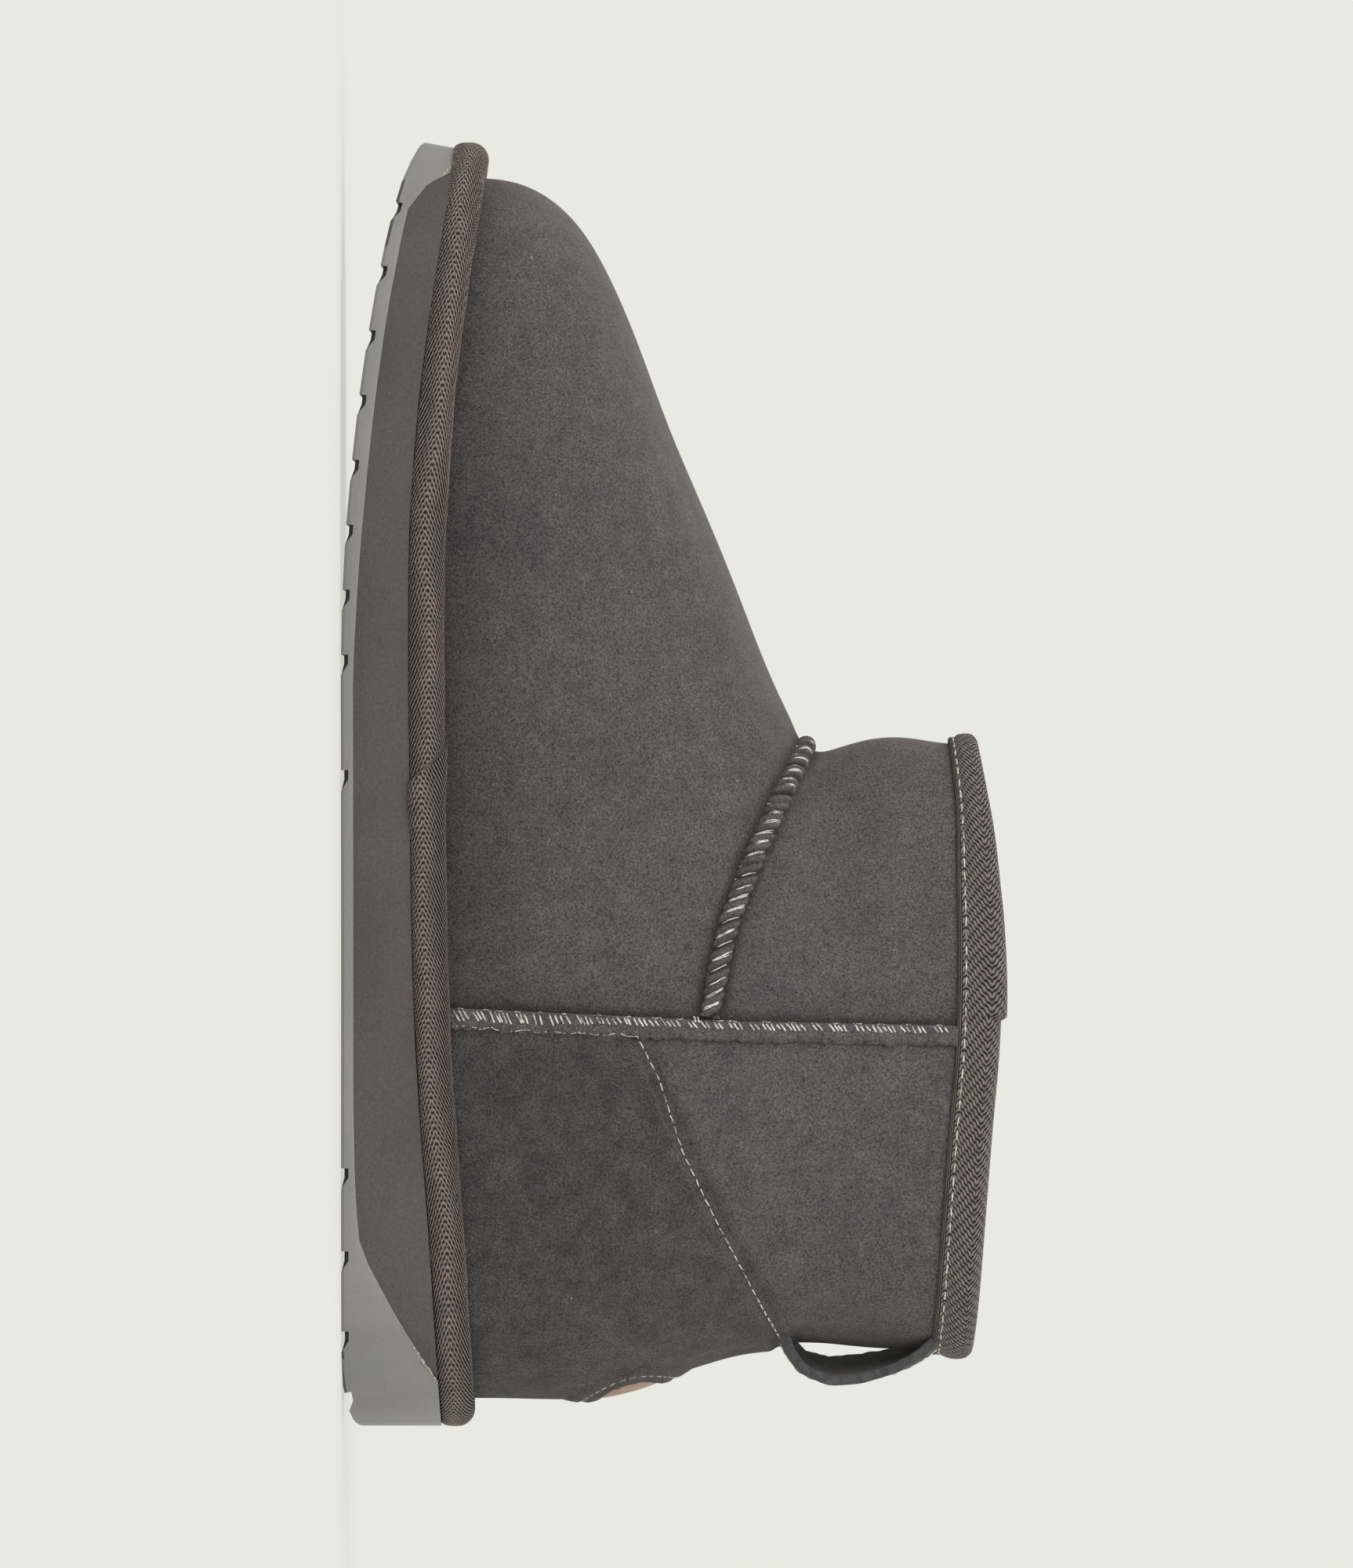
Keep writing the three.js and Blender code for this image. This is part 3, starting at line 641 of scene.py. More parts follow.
LIP_SECTION = [
    # towards the heel from the seam's line, and up from the skin, mm
    (-0.50, -0.40),
    (-0.25, 0.30),
    (0.20, 0.85),
    (0.90, 1.10),
    (1.60, 1.20),
    (2.20, 1.50),
    (2.90, 1.75),
    (3.40, 1.65),
    (3.80, 1.20),
    (3.90, 0.60),
    (3.60, 0.00),
    (3.10, -0.40),
]


def over_counter(heights):
    """How much higher, in mm, the side seam stands where it covers the heel counter's end."""
    return 0.85 * (1 - smooth(60, 67, heights / MM))


def seam_lip(name, points, normals, to_heel):
    """A side seam: two panels' turned-out edges, pressed over towards the heel and left raw."""
    count = 420
    line, direction, side_way, length = resampled(points, normals, count)
    dice = np.random.default_rng(13)
    swell = softened(dice.normal(0, 1, count), 6) * 1.9
    torn = softened(dice.normal(0, 1, count), 3) * 1.1
    nibbled = softened(dice.normal(0, 1, count), 1) * 0.5
    rows = []
    for aside, lift in LIP_SECTION:
        outer = float(smooth(1.2, 3.3, aside))
        sway = aside + outer * (0.36 * torn + 0.16 * nibbled)
        rise = lift * (1 + 0.13 * swell) + outer * 0.14 * torn + over_counter(line[:, 2]) * min(1, lift + 0.4)
        rows.append(line + (direction * rise[:, None] + side_way * to_heel * sway[:, None]) * MM)
    places = np.stack(rows, axis=1)
    asides = [row[0] for row in LIP_SECTION]
    cloth = np.stack(np.meshgrid(np.linspace(0, length, count), asides, indexing="ij"), axis=2)
    return sheet_between(name, places, seam_suede, cloth)


def stitch_tubes(name, runs, radius, material):
    """Threads: each run of points becomes a thin round tube, all joined in one mesh."""
    bm = bmesh.new()
    for run in runs:
        run = np.asarray(run)
        along = np.gradient(run, axis=0)
        rings = []
        for spot, way in zip(run, along):
            turn = Vector(way).to_track_quat("Z", "Y").to_matrix().to_4x4()
            turn.translation = Vector(spot)
            ring = bmesh.ops.create_circle(bm, cap_ends=False, segments=6, radius=radius * MM, matrix=turn)
            rings.append(ring["verts"])
        for low_ring, high_ring in zip(rings, rings[1:]):
            for k in range(6):
                bm.faces.new((low_ring[k], low_ring[k - 5], high_ring[k - 5], high_ring[k]))
        bm.faces.new(rings[0][::-1])
        bm.faces.new(rings[-1])
    return finished(name, bm, material)


seam_suede = suede("seam_suede", (87, 81, 83), (77, 75, 78), (124, 117, 117), 60.0, 0.9, 0.25)

thread_material, tree, shader = nodes_of("pale_thread", linear(190, 188, 182), 0.42, 0.5)
where = own_place(tree)
wear_and_shade = spread(tree, noisy(tree, where, 430.0, 3.0, 0.7), 0.34, 0.56)
thread_color = mixed(tree, wear_and_shade, linear(112, 109, 106), linear(222, 220, 212))
painted(tree, shader, thread_color)
bumped(tree, shader, noisy(tree, where, 2600.0, 1.0), 0.5, 0.0002)
shader.inputs["Sheen Weight"].default_value = 0.2

seam_rope("vamp_seam", vamp_points, vamp_normals)


def whip_stitches(points, normals):
    """Double threads that cross a seam rope in the grooves between its lumps, and turn along its foot."""
    dice = random.Random(3)
    last = 1399
    line, direction, side_way, length = resampled(points, normals, last + 1)
    runs = []
    for n in range(1, WHIP_COUNT):
        across = dice.uniform(-0.12, 0.2)
        sunk = ROPE_LUMPS[0] + (ROPE_LUMPS[1] if n % 2 == 0 else 0)
        for thread in (-1, 1):
            if dice.random() < 0.1:
                continue
            shift = thread * dice.uniform(0.12, 0.26)
            lean = WHIP_SLANT + dice.uniform(-0.35, 0.35)
            reach = dice.uniform(0.6, 0.85)
            steps = list(np.linspace(across - reach, across + reach, 8))
            if dice.random() < 0.14:
                steps = list(np.linspace(0.84, 1.08, 4))
            run = []
            for step in steps:
                at = (n / WHIP_COUNT + (shift + lean * step) / length) * last
                k = min(max(int(round(at)), 0), last)
                inside = ((step - across) / reach) ** 2
                lift = ROPE_HEIGHT * rope_rise(min(step, 0.97)) * (1 - sunk) + 0.36 - 0.45 * min(inside, 1.0)
                run.append(line[k] + (direction[k] * lift + side_way[k] * step * ROPE_WIDTH * 0.44) * MM)
            runs.append(run)
            if len(steps) == 4:
                break
    return runs


stitch_tubes("vamp_seam_thread", whip_stitches(vamp_points, vamp_normals), 0.16, thread_material)


def lip_threads(points, normals, to_heel, joint):
    """Slanted stitches in small groups along the toe side of a side seam, and a thread in its crease."""
    dice = random.Random(11)
    last = 1099
    line, direction, side_way, length = resampled(points, normals, last + 1)
    asides, lifts = zip(*LIP_SECTION[:10])

    def on_lip(at, aside, off):
        k = min(max(int(round(at / length * last)), 0), last)
        lift = float(np.interp(aside, asides, lifts)) + over_counter(line[k, 2]) + off
        return line[k] + (direction[k] * lift + side_way[k] * to_heel * aside) * MM

    slanted = []
    at = 2.0
    while at < length - 2:
        for _ in range(dice.choice((2, 2, 3, 3, 4, 5))):
            shorter = 1 - 0.34 * float(smooth(16, 34, at))
            start, end = dice.uniform(-0.05, 0.25), dice.uniform(1.7, 2.3) * shorter
            lean = dice.uniform(1.0, 1.6) * shorter
            off = dice.uniform(0.02, 0.14)
            steps = np.linspace(0, 1, 5)
            slanted.append([on_lip(at + lean * t, start + (end - start) * t, off) for t in steps])
            at += dice.uniform(0.8, 1.2)
        at += dice.uniform(0.2, 1.6)
    crease = []
    at = 3.0
    while at < length - 4:
        span = dice.uniform(0.6, 1.8)
        if abs(at - joint) < 4:
            span = 3.4
        off = dice.uniform(0.1, 0.3)
        run = [(at + span * t, -0.36 + 0.12 * math.sin(7 * t + at)) for t in np.linspace(0, 1, 7)]
        crease.append([on_lip(along, aside, off) for along, aside in run])
        at += span + (0.2 if abs(at - joint) < 4 else dice.uniform(1.5, 7.0))
    at = 1.5
    while at < 40:
        span = dice.uniform(1.6, 3.6)
        run = [(at + span * t, 3.5 + 0.25 * math.sin(2.5 * t + at)) for t in np.linspace(0, 1, 9)]
        crease.append([on_lip(along, aside, 0.16) for along, aside in run])
        at += span + dice.uniform(0.3, 1.2)
    for _ in range(5):
        top = joint + dice.uniform(-0.8, 0.8)
        run = [(top + 0.3 * t, -1.1 + 1.3 * t, 0.35 + 0.2 * math.sin(3 * t)) for t in np.linspace(0, 1, 5)]
        crease.append([on_lip(*spot) for spot in run])
    return slanted, crease


for side, word in ((1, "medial"), (-1, "lateral")):
    seam_lip("side_seam_" + word, seam_points[side], seam_normals[side], side)
    slanted, crease = lip_threads(seam_points[side], seam_normals[side], side, 52.5)
    stitch_tubes("side_seam_thread_" + word, slanted, 0.2, thread_material)
    stitch_tubes("side_seam_crease_" + word, crease, 0.1, thread_material)

# ---------------------------------------------------------------------------------------------
# Rolled tape: a woven herringbone tape, folded to a roll and stitched round the foot of the
# upper, where it covers the joint with the sole. Its two ends lap on the medial side.
# ---------------------------------------------------------------------------------------------


def woven(along, across, column, pitch, lean, curl, bead, knots):
    """Height of the weave, 0 in the holes and 1 on the yarns, at places in mm on the tape. A column is
    one side of the herringbone, the pitch runs along the tape from yarn to yarn, and lean and curl say
    how far a yarn runs along for each mm across, curling as far as 2.4 mm from the fold. Beads are the
    crossings, as far out as "knots"."""
    folded = np.abs((across / column + 1) % 2.0 - 1.0) * column
    strand = ((lean + curl * np.minimum(folded, 2.4)) * folded - along) / pitch
    between = 1 - np.sin(np.pi * (strand % 1.0)) ** 1.6
    crossing = np.sin(np.pi * ((folded / bead + 0.5 * np.floor(strand)) % 1.0)) ** 1.5
    return 1 - between * (1 - 0.95 * crossing * np.exp(-((folded / knots) ** 2)))


weave_group, weave_in, weave_out = shader_group(
    "herringbone_weave",
    [
        ("Cloth", "NodeSocketVector", None),
        ("Column", "NodeSocketFloat", 6.0),
        ("Pitch", "NodeSocketFloat", 1.2),
        ("Lean", "NodeSocketFloat", 1.1),
        ("Curl", "NodeSocketFloat", 0.0),
        ("Bead", "NodeSocketFloat", 1.0),
        ("Knots", "NodeSocketFloat", 9.0),
        ("Selvedge", "NodeSocketFloat", -99.0),
        ("Yarn", "NodeSocketColor", (0.2, 0.18, 0.16, 1)),
        ("Gap", "NodeSocketColor", (0.02, 0.02, 0.02, 1)),
    ],
    [("Color", "NodeSocketColor"), ("Height", "NodeSocketFloat")],
)


def weave(operation, *values):
    """A Math node's output inside the weave's group."""
    return maths(weave_group, operation, *values)


cloth, column, pitch, lean, curl, bead, knots, selvedge, yarn, gap = weave_in.outputs[:10]
tape_place = add(weave_group, "ShaderNodeSeparateXYZ", {"Vector": cloth})
tape_x, tape_y = tape_place.outputs["X"], tape_place.outputs["Y"]
folded = weave("FLOORED_MODULO", weave("ADD", weave("DIVIDE", tape_y, column), 1.0), 2.0)
folded = weave("MULTIPLY", weave("ABSOLUTE", weave("SUBTRACT", folded, 1.0)), column)
lean = weave("MULTIPLY_ADD", weave("MINIMUM", folded, 2.4), curl, lean)
strand = weave("DIVIDE", weave("SUBTRACT", weave("MULTIPLY", folded, lean), tape_x), pitch)
ridge = weave("SINE", weave("MULTIPLY", weave("FRACT", strand), math.pi))
between = weave("SUBTRACT", 1.0, weave("POWER", ridge, 1.6))
turn = weave("ADD", weave("DIVIDE", folded, bead), weave("MULTIPLY", weave("FLOOR", strand), 0.5))
crossing = weave("POWER", weave("SINE", weave("MULTIPLY", weave("FRACT", turn), math.pi)), 1.5)
reach = weave("DIVIDE", folded, knots)
reach = weave("EXPONENT", weave("MULTIPLY", weave("MULTIPLY", reach, reach), -1.0))
open_share = weave("MULTIPLY_ADD", weave("MULTIPLY", crossing, reach), -0.95, 1.0)
height = weave("SUBTRACT", 1.0, weave("MULTIPLY", between, open_share))
lengthwise = weave("ABSOLUTE", weave("SINE", weave("MULTIPLY", tape_y, math.pi / 0.42)))
flatter = weave("MULTIPLY", weave("LESS_THAN", tape_y, selvedge), weave("SUBTRACT", lengthwise, height))
height = weave("ADD", height, flatter)
# Painted light and shade on the yarns: the colour follows the weave's height, dark (the Gap colour) in the
# holes and between the yarns, and light on their raised tops.
woven_color = mixed(weave_group, weave("POWER", height, 3.8), gap, yarn)
frayed = weave("MULTIPLY", noisy(weave_group, cloth, 5.0, 2.0), 0.7)
wear = weave("ADD", noisy(weave_group, cloth, 0.35, 4.0), frayed)
worn_color = scaled(weave_group, woven_color, spread(weave_group, wear, 0.5, 1.2, 0.7, 1.3))
weave_group.links.new(worn_color, weave_out.inputs["Color"])
weave_group.links.new(height, weave_out.inputs["Height"])


def tape_cloth(name, yarn, gap, weave_shape, selvedge=-99.0):
    """Herringbone tape in the given screen colours, laid out by the piece's own UV in mm."""
    material, tree, shader = nodes_of(name, linear(*yarn), 0.85, 0.2)
    values = dict(zip(("Column", "Pitch", "Lean", "Curl", "Bead", "Knots"), weave_shape))
    values["Cloth"] = add(tree, "ShaderNodeUVMap", uv_map="cloth").outputs["UV"]
    values.update({"Selvedge": selvedge, "Yarn": linear(*yarn), "Gap": linear(*gap)})
    tape = use_group(tree, weave_group, values)
    painted(tree, shader, tape.outputs["Color"])
    bumped(tree, shader, tape.outputs["Height"], 1.0, 0.0005)
    shader.inputs["Sheen Weight"].default_value = 0.08
    shader.inputs["Sheen Roughness"].default_value = 0.5
    return material


TAPE_SHAPE = (7.0, 1.55, 1.6, 0.28, 0.52, 3.3)
tape_weave = tape_cloth("rolled_tape_weave", (142, 127, 121), (16, 12, 12), TAPE_SHAPE)


TAPE_ALONG, TAPE_ACROSS = 1350, 72
TAPE_RADIUS = 3.55
TAPE_LAP_X = HEEL_X + 138 * MM
foot_line, foot_length = even(feather_loop, TAPE_ALONG)
foot_line = foot_line[:-1]
foot_line = softened_line(foot_line, 8)
along = np.roll(foot_line, -1, axis=0) - np.roll(foot_line, 1, axis=0)
out = unit(np.cross(along, (0, 0, 1.0)))
if np.sum(out[:, 0] * foot_line[:, 0]) < 0:
    out = -out
out = softened_line(out, 8)
run = np.arange(TAPE_ALONG) * foot_length / TAPE_ALONG / MM
lap_start = run[int(np.argmin(np.abs(foot_line[:, 0] - TAPE_LAP_X) + 1.0 * (foot_line[:, 1] < 0)))]
angles = np.radians(np.linspace(-112, 158, 400))
pressed = angles < 0  # the roll is pressed flat against the sole
fuller = np.where(pressed, 2 / 3.8, 1.0)
roll = np.zeros((len(angles), 3))
roll[:, 0] = np.sign(np.cos(angles)) * np.abs(np.cos(angles)) ** fuller
roll[:, 1] = np.sign(np.sin(angles)) * np.abs(np.sin(angles)) ** fuller * np.where(pressed, 1.05, 0.98)
roll, roll_length = even(roll, TAPE_ACROSS + 1, closed=False)
widest = int(np.argmin(np.abs(roll[:, 1] - 0.1) + 9 * (roll[:, 0] < 0.5)))
across = TAPE_RADIUS * roll_length * (np.arange(TAPE_ACROSS + 1) - widest) / TAPE_ACROSS
run_grid, across_grid = np.meshgrid(run, across, indexing="ij")
past_lap = run_grid - lap_start + 0.9 * across_grid
lap = smooth(0, 0.7, past_lap) * (1 - smooth(4, 15, past_lap))
slack = np.interp(run, np.linspace(0, run[-1], 90), np.random.default_rng(5).normal(0, 0.09, 90))
slack = softened(slack, 12)
wander = np.random.default_rng(9).normal(0, 0.75, 36)
wander = softened(np.interp(run, np.linspace(0, run[-1], 36), wander), 40)
shifted = across_grid + wander[:, None] + 1.6 * smooth(0, 0.5, past_lap)
weave_rise = 0.46 * (woven(run_grid, shifted, *TAPE_SHAPE) - 0.6)
radius = TAPE_RADIUS + weave_rise + 0.5 * lap + slack[:, None]
centre = foot_line + out * 3.65 * MM + np.array([0, 0, 3.45 * MM])
places = (
    centre[:, None, :]
    + out[:, None, :] * (radius * roll[:, 0] * MM)[:, :, None]
    + np.array([0, 0, 1.0]) * (radius * roll[:, 1] * MM)[:, :, None]
)
cloth_places = np.stack([run_grid, shifted], axis=2)
places = np.concatenate([places, places[:1]])
cloth_places = np.concatenate([cloth_places, cloth_places[:1] + np.array([foot_length / MM, 0])])
sheet_between("rolled_tape_roll", places, tape_weave, cloth_places, True, ["rolled_tape"])

# ---------------------------------------------------------------------------------------------
# Collar binding: the same kind of tape in a finer weave, folded over the edge of skin and
# fleece and topstitched along its lower edge. Its ends lap at the medial side seam.
# ---------------------------------------------------------------------------------------------

BINDING_SHAPE = (5.0, 1.25, 1.3, 0.0, 1.05, 12.0)
binding_weave = tape_cloth("collar_binding_weave", (136, 124, 120), (9, 7, 7), BINDING_SHAPE, -0.7)
BINDING_ALONG, BINDING_ACROSS = 1000, 62
BINDING_SECTION = [
    # outwards from the skin, and up from the collar's edge
    (0.10, -8.5),
    (0.95, -8.4),
    (1.20, -7.7),
    (0.90, -6.5),
    (1.35, -5.7),
    (1.95, -4.2),
    (2.15, -2.6),
    (1.95, -1.0),
    (1.05, 0.05),
    (-0.70, 0.45),
    (-2.60, 0.50),
    (-4.60, 0.15),
    (-6.00, -0.60),
    (-6.60, -2.20),
    (-6.50, -4.40),
    (-5.90, -6.40),
]
section = np.array([(aside, height, 0.0) for aside, height in BINDING_SECTION])
section, section_length = even(section, BINDING_ACROSS + 1, closed=False)
for k in (0, 1):
    inner = np.convolve(np.pad(section[:, k], 2, mode="edge"), [0.1, 0.2, 0.4, 0.2, 0.1], "valid")
    section[2:-2, k] = inner[2:-2]
rim, rim_length = even(collar_loop, BINDING_ALONG)
rim = rim[:-1]
rim = softened_line(rim, 5)
SHAFT_AXIS = np.array([HEEL_X + 80 * MM, 2.8 * MM])
outward = unit(rim[:, :2] - SHAFT_AXIS)
rim_normal = unit(np.cross(np.roll(rim, -1, axis=0) - np.roll(rim, 1, axis=0), (0, 0, 1.0)))
if np.sum(rim_normal[:, 0] * (rim[:, 0] - SHAFT_AXIS[0])) < 0:
    rim_normal = -rim_normal
rim_normal = softened_line(rim_normal, 12)
depths = np.linspace(-0.0101, -0.0004, 9)
skin_at = np.zeros((BINDING_ALONG, len(depths), 2))
for n in range(BINDING_ALONG):
    for m, depth in enumerate(depths):
        start = Vector((SHAFT_AXIS[0], SHAFT_AXIS[1], rim[n, 2] + depth))
        hit = skin_tree.ray_cast(start, Vector((outward[n, 0], outward[n, 1], 0)))[0]
        skin_at[n, m] = (hit - start).length if hit else 0
run = np.arange(BINDING_ALONG) * rim_length / BINDING_ALONG / MM
section_run = np.linspace(0, section_length, BINDING_ACROSS + 1)
run_grid, section_grid = np.meshgrid(run, section_run, indexing="ij")
reach = np.stack([np.interp(section[:, 1] * MM, depths, skin_at[n, :, 0]) for n in range(BINDING_ALONG)])
reach = softened_line(reach, 5)
LAP_X = HEEL_X + 84.2 * MM
front_of_lap = (rim[:, 0] - LAP_X) / MM
on_medial = rim[:, 1] > SHAFT_AXIS[1]
lapped = np.where(on_medial, smooth(0.0, 0.7, front_of_lap) * (1 - 0.7 * smooth(3, 30, front_of_lap)), 0.0)
over_top = smooth(-7.5, 0.5, section[:, 1]) * smooth(-7.0, -3.0, section[:, 0])
lap_out = 0.75 * lapped[:, None] * (0.35 + 0.65 * over_top[None, :])
lap_up = 1.3 * lapped[:, None] * smooth(-5, 1.5, section[:, 1])[None, :]
BINDING_PHASE = 2.6  # mm from the tape's lower edge to the first fold of the herringbone
weave_rise = 0.28 * (woven(run_grid, section_grid - BINDING_PHASE, *BINDING_SHAPE) - 0.6)
selvedge = smooth(3.0, 3.7, section_grid)
weave_rise = weave_rise * (0.25 + 0.75 * selvedge)
facing = np.gradient(section[:, :2], axis=0)
facing = np.stack([-facing[:, 1], facing[:, 0]], axis=1)
facing /= -np.linalg.norm(facing, axis=1)[:, None]
stand_off = section[:, 0][None, :] + lap_out + weave_rise * facing[:, 0][None, :]
climb = section[:, 1][None, :] + lap_up + weave_rise * facing[:, 1][None, :]
toward_front = smooth(104, 142, (rim[:, 0] - HEEL_X) / MM)
narrower = 2.4 * smooth(3, 9, -section[:, 1]) - 0.7 * smooth(-3, 0.6, section[:, 1])
climb = climb + toward_front[:, None] * narrower[None, :]
base = SHAFT_AXIS[None, None, :] + outward[:, None, :] * reach[:, :, None]
places = np.zeros((BINDING_ALONG, BINDING_ACROSS + 1, 3))
places[:, :, :2] = base + rim_normal[:, None, :2] * stand_off[:, :, None] * MM
places[:, :, 2] = rim[:, 2][:, None] + climb * MM
binding_places = places
cloth_places = np.stack([run_grid, section_grid - BINDING_PHASE], axis=2)
places = np.concatenate([places, places[:1]])
cloth_places = np.concatenate([cloth_places, cloth_places[:1] + np.array([rim_length / MM, 0])])
sheet_between(
    "collar_binding_tape", places, binding_weave, cloth_places, True, ["collar_binding"]
)


def running_stitches(line, normals, stitch, pitch, lift, wobble, seed, skip=0.0):
    """Runs of points for a row of topstitches along a line that lies on a surface."""
    dice = random.Random(seed)
    steps = np.linalg.norm(np.diff(line, axis=0), axis=1)
    distance = np.concatenate([[0], np.cumsum(steps)]) / MM
    runs = []
    for n in range(int(distance[-1] / pitch)):
        start = n * pitch + dice.uniform(-0.12, 0.12)
        if dice.random() < skip:
            continue
        side = dice.uniform(-wobble, wobble)
        run = []
        for t in np.linspace(0, 1, 6):
            at = start + stitch * t
            spot = np.array([np.interp(at, distance, line[:, k]) for k in range(3)])
            way = np.array([np.interp(at, distance, normals[:, k]) for k in range(3)])
            rise = lift * (math.sin(math.pi * t) ** 0.6) - 0.14
            tip = np.array([0, 0, side]) * (2 * t - 1)
            run.append(spot + way * rise * MM + tip * MM)
        runs.append(run)
    return runs


stitch_row = int(np.argmin(np.abs(section_run - 2.7)))
row_line = np.concatenate([binding_places[:, stitch_row], binding_places[:1, stitch_row]])
row_normals = np.concatenate([rim_normal, rim_normal[:1]])
topstitch = running_stitches(row_line, row_normals, 2.0, 3.2, 0.28, 0.12, 4)
stitch_tubes("collar_topstitch", topstitch, 0.16, thread_material)

# ---------------------------------------------------------------------------------------------
# Heel counter: a coarser, darker suede, laid over the quarters round the heel. It is caught in
# the side seams and under the rolled tape, and topstitched near its thin skived upper edge.
# ---------------------------------------------------------------------------------------------

counter_suede = suede("counter_suede", (72, 69, 71), (66, 65, 67), (118, 114, 115), 90.0, 1.5, 0.5)
COUNTER_ALONG, COUNTER_ACROSS = 250, 84
COUNTER_LIFT = 1.5  # mm from the skin to the counter's face
foot_angles = np.arctan2(feather_loop[:, 1] - AXIS[1], feather_loop[:, 0] - AXIS[0]) % (2 * math.pi)
order = np.argsort(foot_angles)


def on_skin(angle, height, tree=skin_tree):
    """The skin's place and outward direction, seen level from the upright axis inside the shaft."""
    start = Vector((AXIS[0], AXIS[1], height))
    spot, normal, _, _ = tree.ray_cast(start, Vector((math.cos(angle), math.sin(angle), 0)))
    return spot, normal if normal.dot(spot - start) > 0 else -normal


def seam_angle(side, height):
    """Where the side seam stands round the axis at a height."""
    spot = [np.interp(height, seam_points[side][:, 2], seam_points[side][:, k]) for k in (0, 1)]
    return math.atan2(spot[1] - AXIS[1], spot[0] - AXIS[0]) % (2 * math.pi)


counter_places = np.zeros((COUNTER_ALONG, COUNTER_ACROSS, 3))
counter_cloth = np.zeros((COUNTER_ALONG, COUNTER_ACROSS, 2))
climb = 1 - (1 - np.linspace(0, 1, COUNTER_ACROSS)) ** 1.35
for n, share in enumerate(np.linspace(0, 1, COUNTER_ALONG)):
    top = 70 * MM
    for _ in range(8):
        angle = seam_angle(1, top) * (1 - share) + seam_angle(-1, top) * share
        spot, _ = on_skin(angle, top)
        top = 0.5 * (top + table(COUNTER_TOP, (spot.x - HEEL_X) / MM) * MM)
    angle = seam_angle(1, 30 * MM) * (1 - share) + seam_angle(-1, 30 * MM) * share
    foot = np.interp(angle, foot_angles[order], feather_loop[order, 2]) + 3.0 * MM
    for m, part in enumerate(climb):
        height = foot + (top - foot) * part
        angle = seam_angle(1, height) * (1 - share) + seam_angle(-1, height) * share
        spot, normal = on_skin(angle, height)
        below_edge = (top - height) / MM * 0.88
        lift = 0.5 + (COUNTER_LIFT - 0.5) * float(smooth(1.5, 5.0, below_edge))
        lift -= 0.45 * math.exp(-(((below_edge - 3.7) / 0.8) ** 2))
        lift += 0.25 * math.exp(-(((below_edge - 0.9) / 0.7) ** 2))
        lift *= math.sqrt(min(1.0, max(0.0, below_edge / 0.5)))
        if m == COUNTER_ACROSS - 1:
            lift = -0.3
        counter_places[n, m] = spot + normal * lift * MM
        counter_cloth[n, m] = (share * 150, height / MM)
counter_piece = sheet_between(
    "heel_counter_suede",
    counter_places,
    counter_suede,
    counter_cloth,
    replaces=["heel_counter"],
)
counter_tree = BVHTree.FromObject(counter_piece, bpy.context.evaluated_depsgraph_get())
stitch_points, stitch_normals = line_round(COUNTER_STITCH, 93, 267, 420, counter_tree)
topstitch = running_stitches(stitch_points, stitch_normals, 1.75, 2.35, 0.22, 0.12, 6)
stitch_tubes("heel_counter_stitch", topstitch, 0.14, thread_material)

# ---------------------------------------------------------------------------------------------
# Heel patch: a plain oval of brown leather at the back of the counter. It is set under a stitched
# suede rim, and it carries no mark.
# ---------------------------------------------------------------------------------------------

PATCH_HEIGHT = 58.5
PATCH_HALF_WIDTH, PATCH_HALF_HEIGHT = 15.2, 8.9
PATCH_Y = 4.0 * MM
back_angles = np.linspace(math.radians(140), math.radians(220), 240)
back_row = np.array([on_skin(angle, PATCH_HEIGHT * MM, counter_tree)[0] for angle in back_angles])
back_arc = np.concatenate([[0], np.cumsum(np.linalg.norm(np.diff(back_row, axis=0), axis=1))])
back_arc -= np.interp(-PATCH_Y, -back_row[:, 1], back_arc)


def on_heel(arc, height, lift):
    """A place over the back of the counter, from mm round from the middle and mm over the patch's middle."""
    angle = np.interp(arc * MM, back_arc, back_angles)
    spot, normal = on_skin(angle, (PATCH_HEIGHT + height) * MM, counter_tree)
    return spot + normal * lift * MM, normal


patch_leather, tree, shader = nodes_of("patch_leather", linear(150, 118, 94), 0.5, 0.4)
where = own_place(tree)
cloudy = noisy(tree, where, 170.0, 4.0)
pores = add(tree, "ShaderNodeTexVoronoi", {"Vector": where, "Scale": 1500.0})
leather_color = mixed(tree, cloudy, linear(118, 88, 68), linear(168, 134, 106))
painted(tree, shader, leather_color)
bumped(tree, shader, pores.outputs["Distance"], 0.35, 0.0002)

PATCH_TURNS, PATCH_RINGS = 97, 15
places = np.zeros((PATCH_TURNS, PATCH_RINGS, 3))
cloth = np.zeros((PATCH_TURNS, PATCH_RINGS, 2))
for n, turn in enumerate(np.linspace(0, 2 * math.pi, PATCH_TURNS)):
    for m, share in enumerate(np.linspace(0, 1, PATCH_RINGS)):
        arc = PATCH_HALF_WIDTH * share * math.cos(turn)
        rise = PATCH_HALF_HEIGHT * share * math.sin(turn)
        places[n, m] = on_heel(arc, rise, 0.25 + 0.85 * (1 - share**2.4))[0]
        cloth[n, m] = (arc, rise)
sheet_between("heel_patch_leather", places, patch_leather, cloth, True, ["heel_patch"])

